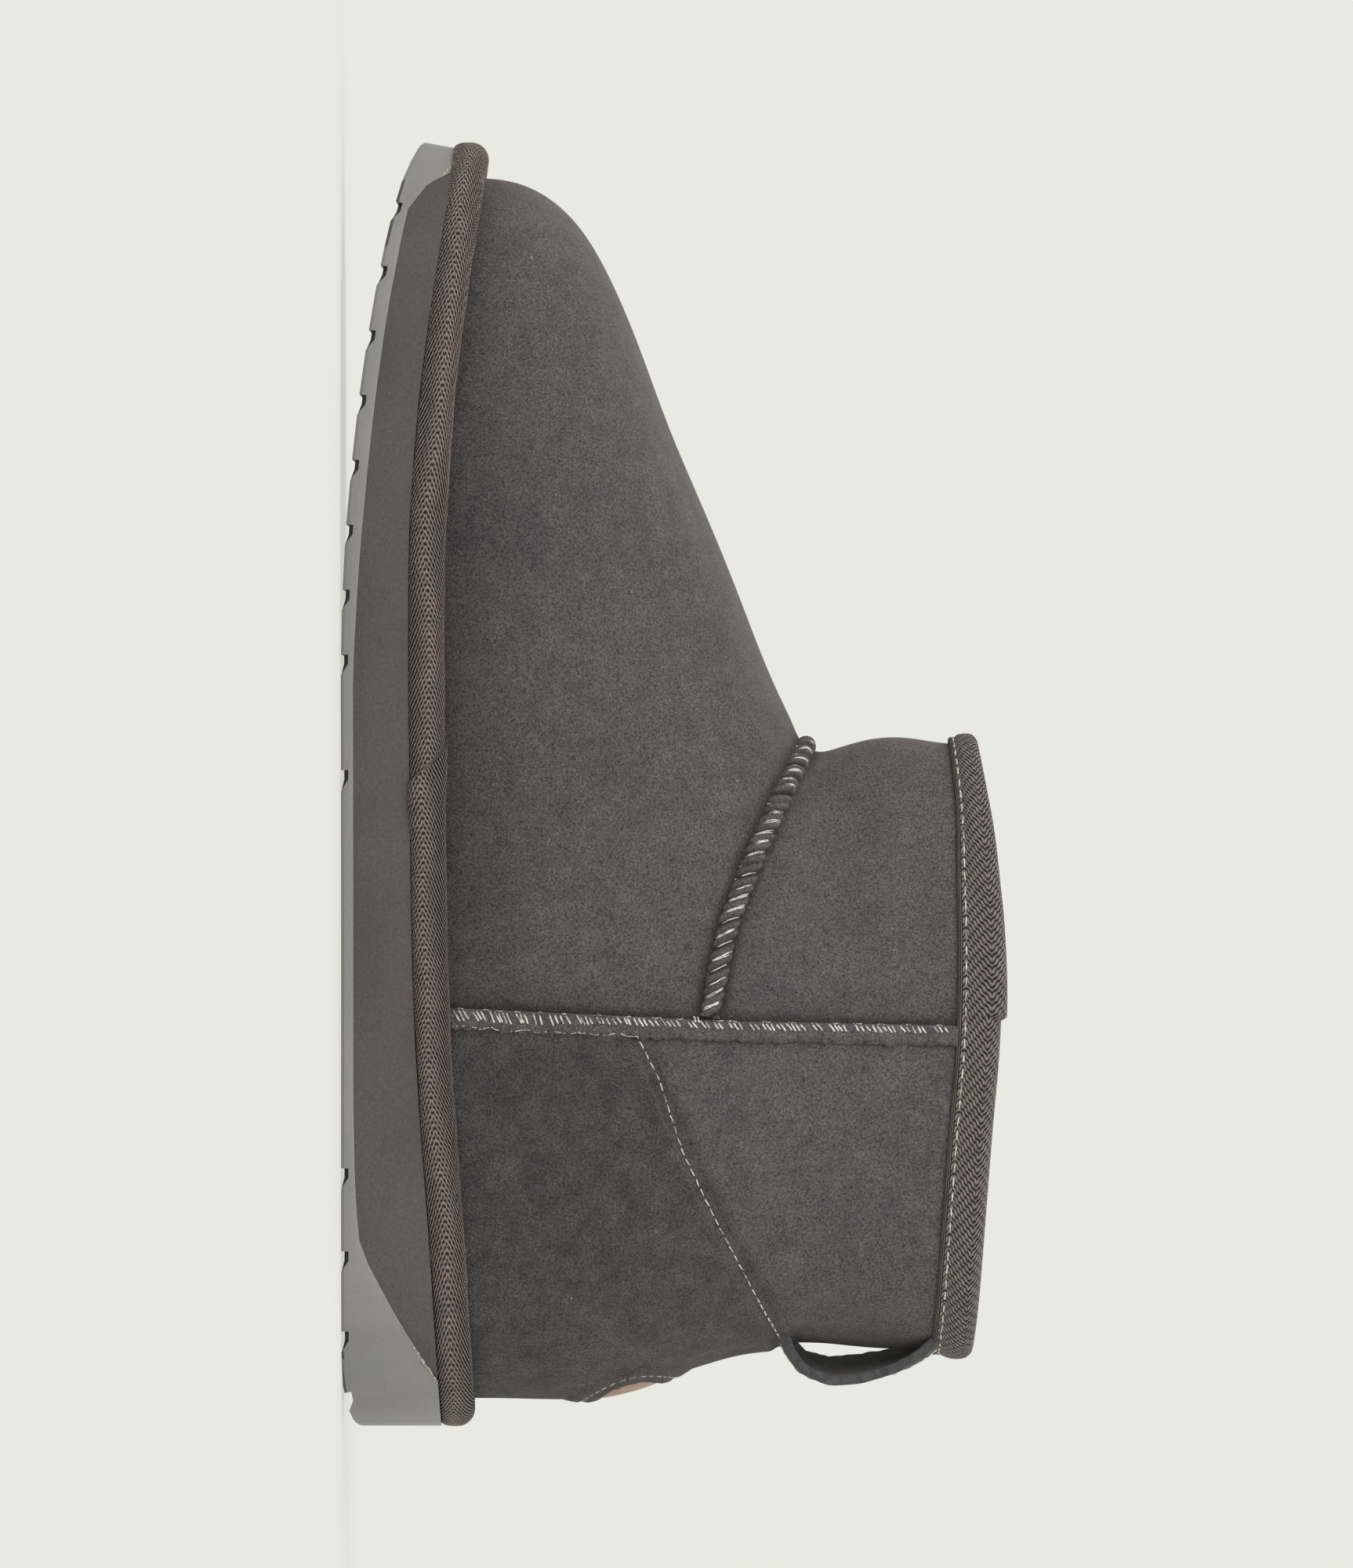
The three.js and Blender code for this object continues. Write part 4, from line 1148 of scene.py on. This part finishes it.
RIM_SECTION = [
    # outwards from the patch's edge, and up from the counter, mm
    (-2.3, -0.1),
    (-2.35, 0.5),
    (-2.1, 0.95),
    (-1.5, 1.2),
    (-0.6, 1.25),
    (0.2, 0.95),
    (0.8, 0.72),
    (1.6, 0.85),
    (2.6, 0.6),
    (3.8, 0.25),
    (5.0, -0.15),
]
RIM_TURNS = 192
rough_edge = softened(np.random.default_rng(21).normal(0, 0.5, RIM_TURNS), 2)
places = np.zeros((RIM_TURNS + 1, len(RIM_SECTION), 3))
cloth = np.zeros((RIM_TURNS + 1, len(RIM_SECTION), 2))
rim_stitch_line, rim_stitch_normals = [], []
for n, turn in enumerate(np.linspace(0, 2 * math.pi, RIM_TURNS + 1)):
    for m, (aside, lift) in enumerate(RIM_SECTION):
        ragged = rough_edge[n % RIM_TURNS] * (1 if m < 4 else 0)
        arc = (PATCH_HALF_WIDTH + aside + ragged) * math.cos(turn)
        rise = (PATCH_HALF_HEIGHT + aside + ragged) * math.sin(turn)
        places[n, m] = on_heel(arc, rise, lift)[0]
        cloth[n, m] = (arc, rise)
    arc = (PATCH_HALF_WIDTH + 0.9) * math.cos(turn)
    spot, normal = on_heel(arc, (PATCH_HALF_HEIGHT + 0.9) * math.sin(turn), 0.72)
    rim_stitch_line.append(spot)
    rim_stitch_normals.append(normal)
sheet_between("heel_patch_rim", places, counter_suede, cloth, True)
topstitch = running_stitches(np.array(rim_stitch_line), np.array(rim_stitch_normals), 1.7, 2.3, 0.2, 0.05, 8)
stitch_tubes("heel_patch_stitch", topstitch, 0.13, thread_material)

# ---------------------------------------------------------------------------------------------
# Pull loop: a strap of suede with raw edges, sewn in under the binding and under the counter's
# upper edge. It stands off the heel, a little askew, so that its dark inner face shows.
# ---------------------------------------------------------------------------------------------

LOOP_PATH = [
    # distance from the heel's end, and height, mm
    (23.0, 88.6),
    (19.0, 90.0),
    (15.2, 91.6),
    (11.3, 94.3),
    (9.0, 100.0),
    (9.5, 106.5),
    (11.4, 113.5),
    (13.6, 118.2),
    (16.2, 121.6),
    (19.0, 125.5),
]
LOOP_WIDTH, LOOP_THICKNESS, LOOP_Y = 27.0, 2.0, 3.9
LOOP_ASKEW = 3.6  # mm that the lateral edge lies nearer to the heel
fleshy = suede("pull_loop_suede", (82, 75, 73), (72, 69, 68), (112, 104, 99), 60.0, 0.9, 0.3)
tree = fleshy.node_tree
shader = tree.nodes["Principled BSDF"]
outer_color = shader.inputs["Base Color"].links[0].from_socket
cloth_uv = add(tree, "ShaderNodeUVMap", uv_map="cloth").outputs["UV"]
round_the_strap = add(tree, "ShaderNodeSeparateXYZ", {"Vector": cloth_uv}).outputs["Y"]
inner_share = spread(tree, round_the_strap, LOOP_WIDTH - 0.6, LOOP_WIDTH + 0.5)
inner_noise = noisy(tree, own_place(tree), 700.0, 4.0)
inner_tone = mixed(tree, inner_noise, linear(50, 52, 55), linear(104, 104, 106))
painted(tree, shader, mixed(tree, inner_share, outer_color, inner_tone))

LOOP_ALONG = 110
path, path_length = even(np.array([(a, 0.0, b) for a, b in LOOP_PATH]), LOOP_ALONG, closed=False)
path = np.pad(path, ((6, 6), (0, 0)), mode="edge")
path = np.stack([np.convolve(path[:, k], np.hanning(13) / 6, "valid") for k in range(3)], axis=1)
ring = []
half, thick = LOOP_WIDTH / 2, LOOP_THICKNESS / 2


def strap_edge(side, turns):
    """The strap's rounded raw edge, medial for side 1 and lateral for side -1."""
    for turn in np.radians(turns):
        ring.append((side * half + 0.35 * math.cos(turn), thick * math.sin(turn), LOOP_WIDTH + 0.6))


for y in np.linspace(-half, half, 26):
    ring.append((y, thick, y + half))
strap_edge(1, (60, 20, -20, -60))
for y in np.linspace(half, -half, 26):
    ring.append((y, -thick, LOOP_WIDTH * 1.5 - y + 1.2))
strap_edge(-1, (240, 200, 160, 120))
ring.append(ring[0])
heel_curve = [on_skin(angle, 100 * MM)[0] for angle in np.linspace(math.radians(150), math.radians(210), 60)]
curve_y = np.array([p.y for p in heel_curve])[::-1] / MM
curve_x = np.array([p.x - min(q.x for q in heel_curve) for p in heel_curve])[::-1] / MM
ragged = np.random.default_rng(31).normal(0, 1, (LOOP_ALONG + 40, 2))
ragged = np.stack([np.convolve(ragged[:, k], np.hanning(7) / 3, "valid") for k in (0, 1)], axis=1) * 0.55
places = np.zeros((LOOP_ALONG, len(ring), 3))
cloth = np.zeros((LOOP_ALONG, len(ring), 2))
slopes = unit(np.gradient(path, axis=0))
for n in range(LOOP_ALONG):
    share = n / (LOOP_ALONG - 1)
    held = 1 - 0.9 * math.sin(math.pi * share) ** 0.6
    askew = LOOP_ASKEW * math.sin(math.pi * min(1, max(0, (share - 0.04) / 0.92))) ** 1.2
    away = np.array([-slopes[n, 2], 0, slopes[n, 0]])
    for m, (y, off, around_at) in enumerate(ring):
        edge = smooth(half - 1.5, half, abs(y))
        y_here = y + ragged[n, 0 if y > 0 else 1] * edge
        curl = held * np.interp(LOOP_Y + y_here, curve_y, curve_x) + askew * (half - y_here) / LOOP_WIDTH
        cup = -0.5 * (y_here / half) ** 2 * (1 - held)
        places[n, m] = (
            HEEL_X + (path[n, 0] + curl + away[0] * (off + cup)) * MM,
            (LOOP_Y + y_here) * MM,
            (path[n, 2] + away[2] * (off + cup)) * MM,
        )
        cloth[n, m] = (share * path_length, around_at)
sheet_between("pull_loop_strap", places, fleshy, cloth, True, ["pull_loop"])
loop_runs = []
for y in (-9.4, 9.4):
    column = int(round((y + half) / LOOP_WIDTH * 25))
    line = places[:, column]
    facing = np.stack([-slopes[:, 2], np.zeros(LOOP_ALONG), slopes[:, 0]], axis=1)
    loop_runs += running_stitches(line, facing, 2.2, 3.0, 0.2, 0.0, 12)
stitch_tubes("pull_loop_stitch", loop_runs, 0.16, thread_material)

# ---------------------------------------------------------------------------------------------
# Fleece: the wool side of the sheepskin. The pile stands in locks that lean this way and that,
# dark at the roots and paler at the tips, and it reaches up to the collar's edge.
# ---------------------------------------------------------------------------------------------

fleece, tree, shader = nodes_of("fleece", linear(104, 90, 85), 0.9, 0.15)
where = own_place(tree)
cloth_uv = add(tree, "ShaderNodeUVMap", uv_map="cloth").outputs["UV"]
pile = add(tree, "ShaderNodeSeparateXYZ", {"Vector": cloth_uv})
root_tone = spread(tree, pile.outputs["Y"], 0.0, 1.0, curve="SMOOTHSTEP")
wool = mixed(tree, root_tone, linear(66, 53, 50), linear(146, 129, 123))
broad = maths(tree, "MULTIPLY", noisy(tree, where, 60.0, 3.0), 0.6)
lightness = maths(tree, "ADD", maths(tree, "MULTIPLY_ADD", pile.outputs["X"], 0.5, broad), 0.45)
painted(tree, shader, scaled(tree, wool, lightness))
shader.inputs["Sheen Weight"].default_value = 0.25
shader.inputs["Sheen Roughness"].default_value = 0.4


def wool_base(name, bm, replaces=()):
    """The skin that the pile grows from, lumpy and dark."""
    layer = bm.loops.layers.uv.new("cloth")
    for face in bm.faces:
        for corner in face.loops:
            corner[layer].uv = (0.5, 0.12)
    bm.normal_update()
    for corner in bm.verts:
        where_on = corner.co * 140
        corner.co -= corner.normal * noise.noise(where_on) * 0.9 * MM
    return finished(name, bm, fleece, replaces)


lining_piece = wool_base("fleece_lining", lining)
sole_fleece = bmesh.new()
sole_fleece.from_mesh(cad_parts["insole"].data)
bmesh.ops.remove_doubles(sole_fleece, verts=sole_fleece.verts, dist=2e-6)
bmesh.ops.subdivide_edges(sole_fleece, edges=sole_fleece.edges, cuts=1, use_grid_fill=True)
wool_base("insole_fleece", sole_fleece, ["insole"])


lateral_rim = collar_loop[: len(collar_loop) // 2]
rim_heights = lateral_rim[np.argsort(lateral_rim[:, 0])][:, (0, 2)]


def pile_on(name, spots, normals, length, thickness, seed, clump):
    """Wool fibres on the given spots: flat tapered blades that gather into locks, in one mesh."""
    dice = np.random.default_rng(seed)
    count = len(spots)
    centres = spots[dice.choice(count, max(4, count // clump), replace=False)]
    finder = KDTree(len(centres))
    for n, centre in enumerate(centres):
        finder.insert(centre, n)
    finder.balance()
    owner = np.array([finder.find(spot)[1] for spot in spots])
    up = np.array([0, 0, 1.0]) - normals * normals[:, 2:3]
    up /= np.linalg.norm(up, axis=1)[:, None] + 1e-9
    side = np.cross(normals, up)
    swirl = np.array([noise.noise(Vector(c) * 45) * 4.5 for c in centres])[owner]
    lean = up * np.cos(swirl)[:, None] + side * np.sin(swirl)[:, None]
    lock_lean = dice.normal(0, 0.35, (len(centres), 2))[owner]
    lean = lean + up * lock_lean[:, :1] + side * lock_lean[:, 1:]
    lock_length = dice.uniform(0.7, 1.15, count)[:, None]
    own = length * lock_length * dice.uniform(0.75, 1.2, len(centres))[owner][:, None]
    start_way = normals * 0.95 + dice.normal(0, 0.22, (count, 3))
    to_lock = centres[owner] - spots
    strip = []
    width_way = np.cross(start_way, lean + dice.normal(0, 0.8, (count, 3)))
    width_way /= np.linalg.norm(width_way, axis=1)[:, None] + 1e-9
    for t, width in ((0.0, 1.0), (0.36, 0.95), (0.7, 0.7), (1.0, 0.0)):
        middle = spots + start_way * own * t * (1 - 0.42 * t)
        middle = middle + lean * own * 0.62 * t**1.7 + to_lock * 0.62 * t
        if width > 0:
            strip.append(middle - width_way * thickness * width / 2)
            strip.append(middle + width_way * thickness * width / 2)
        else:
            strip.append(middle)
    corners = np.stack(strip, axis=1)
    ceiling = np.interp(corners[:, 6, 0], rim_heights[:, 0], rim_heights[:, 1]) + 1.0 * MM
    kept = corners[:, 6, 2] < ceiling
    tone = (dice.uniform(0, 1, count) * 0.6 + dice.uniform(0, 0.4, len(centres))[owner])[kept]
    corners = corners[kept].reshape(-1, 3)
    count = int(kept.sum())
    base = np.arange(count)[:, None] * 7
    quads = np.concatenate([base + np.array([[0, 1, 3, 2]]), base + np.array([[2, 3, 5, 4]])])
    tips = base + np.array([[4, 5, 6]])
    mesh = bpy.data.meshes.new(name)
    mesh.from_pydata(corners.tolist(), [], quads.tolist() + tips.tolist())
    layer = mesh.uv_layers.new(name="cloth")
    along = np.tile([0.0, 0.0, 0.36, 0.36, 0.7, 0.7, 1.0], count)
    tone = np.repeat(tone, 7)
    corner_of = np.zeros(len(mesh.loops), dtype=int)
    mesh.loops.foreach_get("vertex_index", corner_of)
    layer.data.foreach_set("uv", np.stack([tone[corner_of], along[corner_of]], axis=1).ravel())
    return mounted(name, mesh, fleece)


def scattered(mesh, count, seed, wanted, inward):
    """Random spots on a mesh, evenly by area within the part that is wanted, and their directions."""
    mesh.calc_loop_triangles()
    places = np.array([v.co[:] for v in mesh.vertices])
    triangles = np.array([t.vertices[:] for t in mesh.loop_triangles])
    a, b, c = (places[triangles[:, k]] for k in range(3))
    cross = np.cross(b - a, c - a)
    area = np.linalg.norm(cross, axis=1) / 2
    weight = area * wanted((a + b + c) / 3)
    dice = np.random.default_rng(seed)
    chosen = dice.choice(len(area), count, p=weight / weight.sum())
    u, v = dice.uniform(0, 1, (2, count))
    over = u + v > 1
    u[over], v[over] = 1 - u[over], 1 - v[over]
    spots = a[chosen] + (b - a)[chosen] * u[:, None] + (c - a)[chosen] * v[:, None]
    normals = cross[chosen] / (2 * area[chosen][:, None] + 1e-12)
    wrong = np.sum(normals * inward(spots), axis=1) < 0
    normals[wrong] *= -1
    return spots, normals


def to_middle(spots):
    """From the lining towards the middle of the shaft or of the foot's hollow."""
    middle = np.zeros_like(spots)
    middle[:, 0] = np.clip(spots[:, 0], HEEL_X + 50 * MM, HEEL_X + 215 * MM)
    middle[:, 1] = 0.003
    middle[:, 2] = np.clip(spots[:, 2], 38 * MM, 200 * MM)
    shaft = spots[:, 2] > 80 * MM
    middle[shaft, 0] = HEEL_X + 80 * MM
    return middle - spots


def near_collar(places):
    """The lining in the shaft's upper half."""
    rim_height = np.interp(places[:, 0], rim_heights[:, 0], rim_heights[:, 1])
    below = (rim_height - places[:, 2]) / MM
    return (places[:, 2] > 96 * MM) * (below > 4.5)


def down_the_shaft(places):
    """The lining from the throat down, as far as it shows through the mouth."""
    seen = (places[:, 2] <= 98 * MM) & (places[:, 0] < HEEL_X + 165 * MM)
    return seen * np.clip((places[:, 2] - 20 * MM) / (60 * MM), 0.15, 1)


LOCK_SIZE = 26  # fibres that gather into one lock
PILES = [
    # piece, fibres, seeds, part of the lining, and the wool's length and thickness, mm
    ("fleece_pile_collar_1", 25200, (41, 51), near_collar, 8.5, 0.42),
    ("fleece_pile_collar_2", 25200, (42, 52), near_collar, 8.5, 0.42),
    ("fleece_pile_shaft", 15000, (43, 53), down_the_shaft, 9.0, 0.6),
]
for name, fibre_count, (spot_seed, lock_seed), wanted, length, thickness in PILES:
    spots, normals = scattered(lining_piece.data, fibre_count, spot_seed, wanted, to_middle)
    pile_on(name, spots, normals, length * MM, thickness * MM, lock_seed, LOCK_SIZE)

# ---------------------------------------------------------------------------------------------
# Sole: a grey rubber outsole, grooved across its tread, and a darker foam midsole bonded on top
# of it, thick under the heel. Both are moulded and ground flush along the side.
# ---------------------------------------------------------------------------------------------

moulded_group, moulded_in, moulded_out = shader_group(
    "moulded_speckle",
    [
        ("Place", "NodeSocketVector", None),
        ("Cool", "NodeSocketColor", (0.2, 0.2, 0.2, 1)),
        ("Warm", "NodeSocketColor", (0.2, 0.2, 0.2, 1)),
        ("Speckle", "NodeSocketFloat", 0.2),
        ("Speckle Scale", "NodeSocketFloat", 1400.0),
    ],
    [("Color", "NodeSocketColor"), ("Height", "NodeSocketFloat")],
)
place = moulded_in.outputs["Place"]
broad = spread(moulded_group, noisy(moulded_group, place, 32.0, 5.0, 0.6), 0.35, 0.65, curve="SMOOTHSTEP")
tinted = mixed(moulded_group, broad, moulded_in.outputs["Cool"], moulded_in.outputs["Warm"])
fine = noisy(moulded_group, place, moulded_in.outputs["Speckle Scale"], 3.0, 0.7)
speck = maths(moulded_group, "MULTIPLY", maths(moulded_group, "SUBTRACT", fine, 0.5), 2.0)
speck = maths(moulded_group, "MULTIPLY_ADD", speck, moulded_in.outputs["Speckle"], 1.0)
moulded_group.links.new(scaled(moulded_group, tinted, speck), moulded_out.inputs["Color"])
moulded_group.links.new(fine, moulded_out.inputs["Height"])


GROOVE_SHADE_COLOR = linear(62, 60, 58)
DUST_COLOR = linear(176, 172, 160)


def moulded(name, cool, warm, speckle, speckle_scale, roughness, relief, flecks):
    """Moulded rubber or foam, with pale flecks of glue or dust over it, and painted shade on the faces that
    the groove attribute marks.
    """
    material, tree, shader = nodes_of(name, linear(*warm), roughness, 0.35)
    where = own_place(tree)
    body = use_group(
        tree,
        moulded_group,
        {
            "Place": where,
            "Cool": linear(*cool),
            "Warm": linear(*warm),
            "Speckle": speckle,
            "Speckle Scale": speckle_scale,
        },
    )
    dust = use_group(tree, lint_group, {"Place": where, "Amount": flecks}).outputs["Mask"]
    dusted = mixed(tree, dust, body.outputs["Color"], DUST_COLOR)
    # Painted shade: faces marked by the groove attribute are painted dark.
    in_groove = add(tree, "ShaderNodeAttribute", attribute_name="groove").outputs["Fac"]
    painted(tree, shader, mixed(tree, in_groove, dusted, GROOVE_SHADE_COLOR))
    bumped(tree, shader, body.outputs["Height"], relief, 0.0003)
    return material


outsole_rubber = moulded("outsole_rubber", (130, 129, 130), (136, 132, 129), 0.12, 1100.0, 0.55, 0.25, 0.04)
midsole_foam = moulded("midsole_foam", (79, 75, 75), (88, 82, 80), 0.5, 1700.0, 0.8, 0.5, 0.14)


TOE_LEAN = 1.4  # mm that the toe end leans back at the top


def sole_layer(name, node, material, round_edge, let_down=0.0):
    """The CAD solid with its edges rounded and its curved sides shaded smooth. The toe end leans back
    toward the tape. The lower face can be let down into the layer below, so that no gap shows."""
    bm = bmesh.new()
    bm.from_mesh(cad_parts[node].data)
    bmesh.ops.remove_doubles(bm, verts=bm.verts, dist=2e-6)
    bm.normal_update()
    for corner in bm.verts:
        if corner.normal.z < -0.3:
            corner.co.z -= let_down
        at_toe = smooth(250, 262, (corner.co.x - HEEL_X) / MM) * smooth(16.5, 24, corner.co.z / MM)
        corner.co.x -= TOE_LEAN * MM * float(at_toe)
    bmesh.ops.dissolve_limit(bm, angle_limit=math.radians(0.8), verts=bm.verts, edges=bm.edges)
    corners = [e for e in bm.edges if e.is_manifold and e.calc_face_angle() > math.radians(30)]
    bmesh.ops.bevel(
        bm,
        geom=corners,
        offset=round_edge,
        segments=2,
        profile=0.5,
        affect="EDGES",
        material=-1,
        clamp_overlap=True,
    )
    made = finished(name, bm, material, [node])
    made.data.set_sharp_from_angle(angle=math.radians(32))
    return made


outsole_piece = sole_layer("outsole_rubber", "outsole", outsole_rubber, 0.3 * MM)
rubber_places = np.array([v.co[:] for v in outsole_piece.data.vertices])
# Painted shade: the walls and floors of the tread's notches are marked for a dark colour.
groove_shade = []
for face in outsole_piece.data.polygons:
    level_with = rubber_places[np.abs(rubber_places[:, 0] - face.center.x) < 9 * MM, 1]
    if len(level_with) == 0:
        groove_shade.append(0.0)
        continue
    inside = min(level_with.max() - face.center.y, face.center.y - level_with.min()) > 4 * MM
    across_tread = abs(face.normal.x) > 0.38 and abs(face.normal.y) < 0.06
    tall = np.ptp(rubber_places[list(face.vertices), 2])
    in_notch = across_tread or (inside and abs(face.normal.z) < 0.7 and 0.5 * MM < tall < 2.2 * MM)
    groove_shade.append(0.9 if in_notch and HEEL_X + 4 * MM < face.center.x < HEEL_X + 257 * MM else 0.0)
outsole_piece.data.attributes.new("groove", "FLOAT", "FACE").data.foreach_set("value", groove_shade)
sole_layer("midsole_foam", "midsole", midsole_foam, 0.16 * MM, 0.3 * MM)

# Glue that squeezed out and dried along the joint at the heel's wedge and at the toe's corner.
glue, tree, shader = nodes_of("dried_glue", linear(205, 198, 178), 0.45, 0.4)
where = own_place(tree)
clotted = noisy(tree, where, 900.0, 3.0)
glue_color = mixed(tree, clotted, linear(140, 136, 124), linear(196, 190, 174))
painted(tree, shader, glue_color)
GLUE_LINES = [
    # start and end (distance from the heel's end, and height, mm), and how many drops
    ((17.6, 15.0), (13.2, 17.7), 15),
    ((13.2, 17.7), (10.8, 19.0), 8),
    ((257.6, 21.0), (259.4, 22.8), 7),
]
sole_tree = BVHTree.FromObject(bpy.data.objects["outsole_rubber"], bpy.context.evaluated_depsgraph_get())
dice = random.Random(17)
bm = bmesh.new()
for (start_x, start_z), (end_x, end_z), count in GLUE_LINES:
    for n in range(count):
        for side in (1, -1):
            share = (n + dice.uniform(-0.4, 0.4)) / count
            spot = Vector(
                (
                    HEEL_X + (start_x + (end_x - start_x) * share + dice.uniform(-0.3, 0.3)) * MM,
                    side * 70 * MM,
                    (start_z + (end_z - start_z) * share + dice.uniform(-0.3, 0.2)) * MM,
                )
            )
            hit = sole_tree.ray_cast(spot, Vector((0, -side, 0)))[0]
            if hit is None:
                continue
            size = dice.uniform(0.12, 0.34) * MM
            blob = Matrix.Translation(hit) @ Matrix.Diagonal((size * dice.uniform(1, 2), size * 0.5, size, 1))
            bmesh.ops.create_icosphere(bm, subdivisions=2, radius=1.0, matrix=blob)
finished("joint_glue", bm, glue)
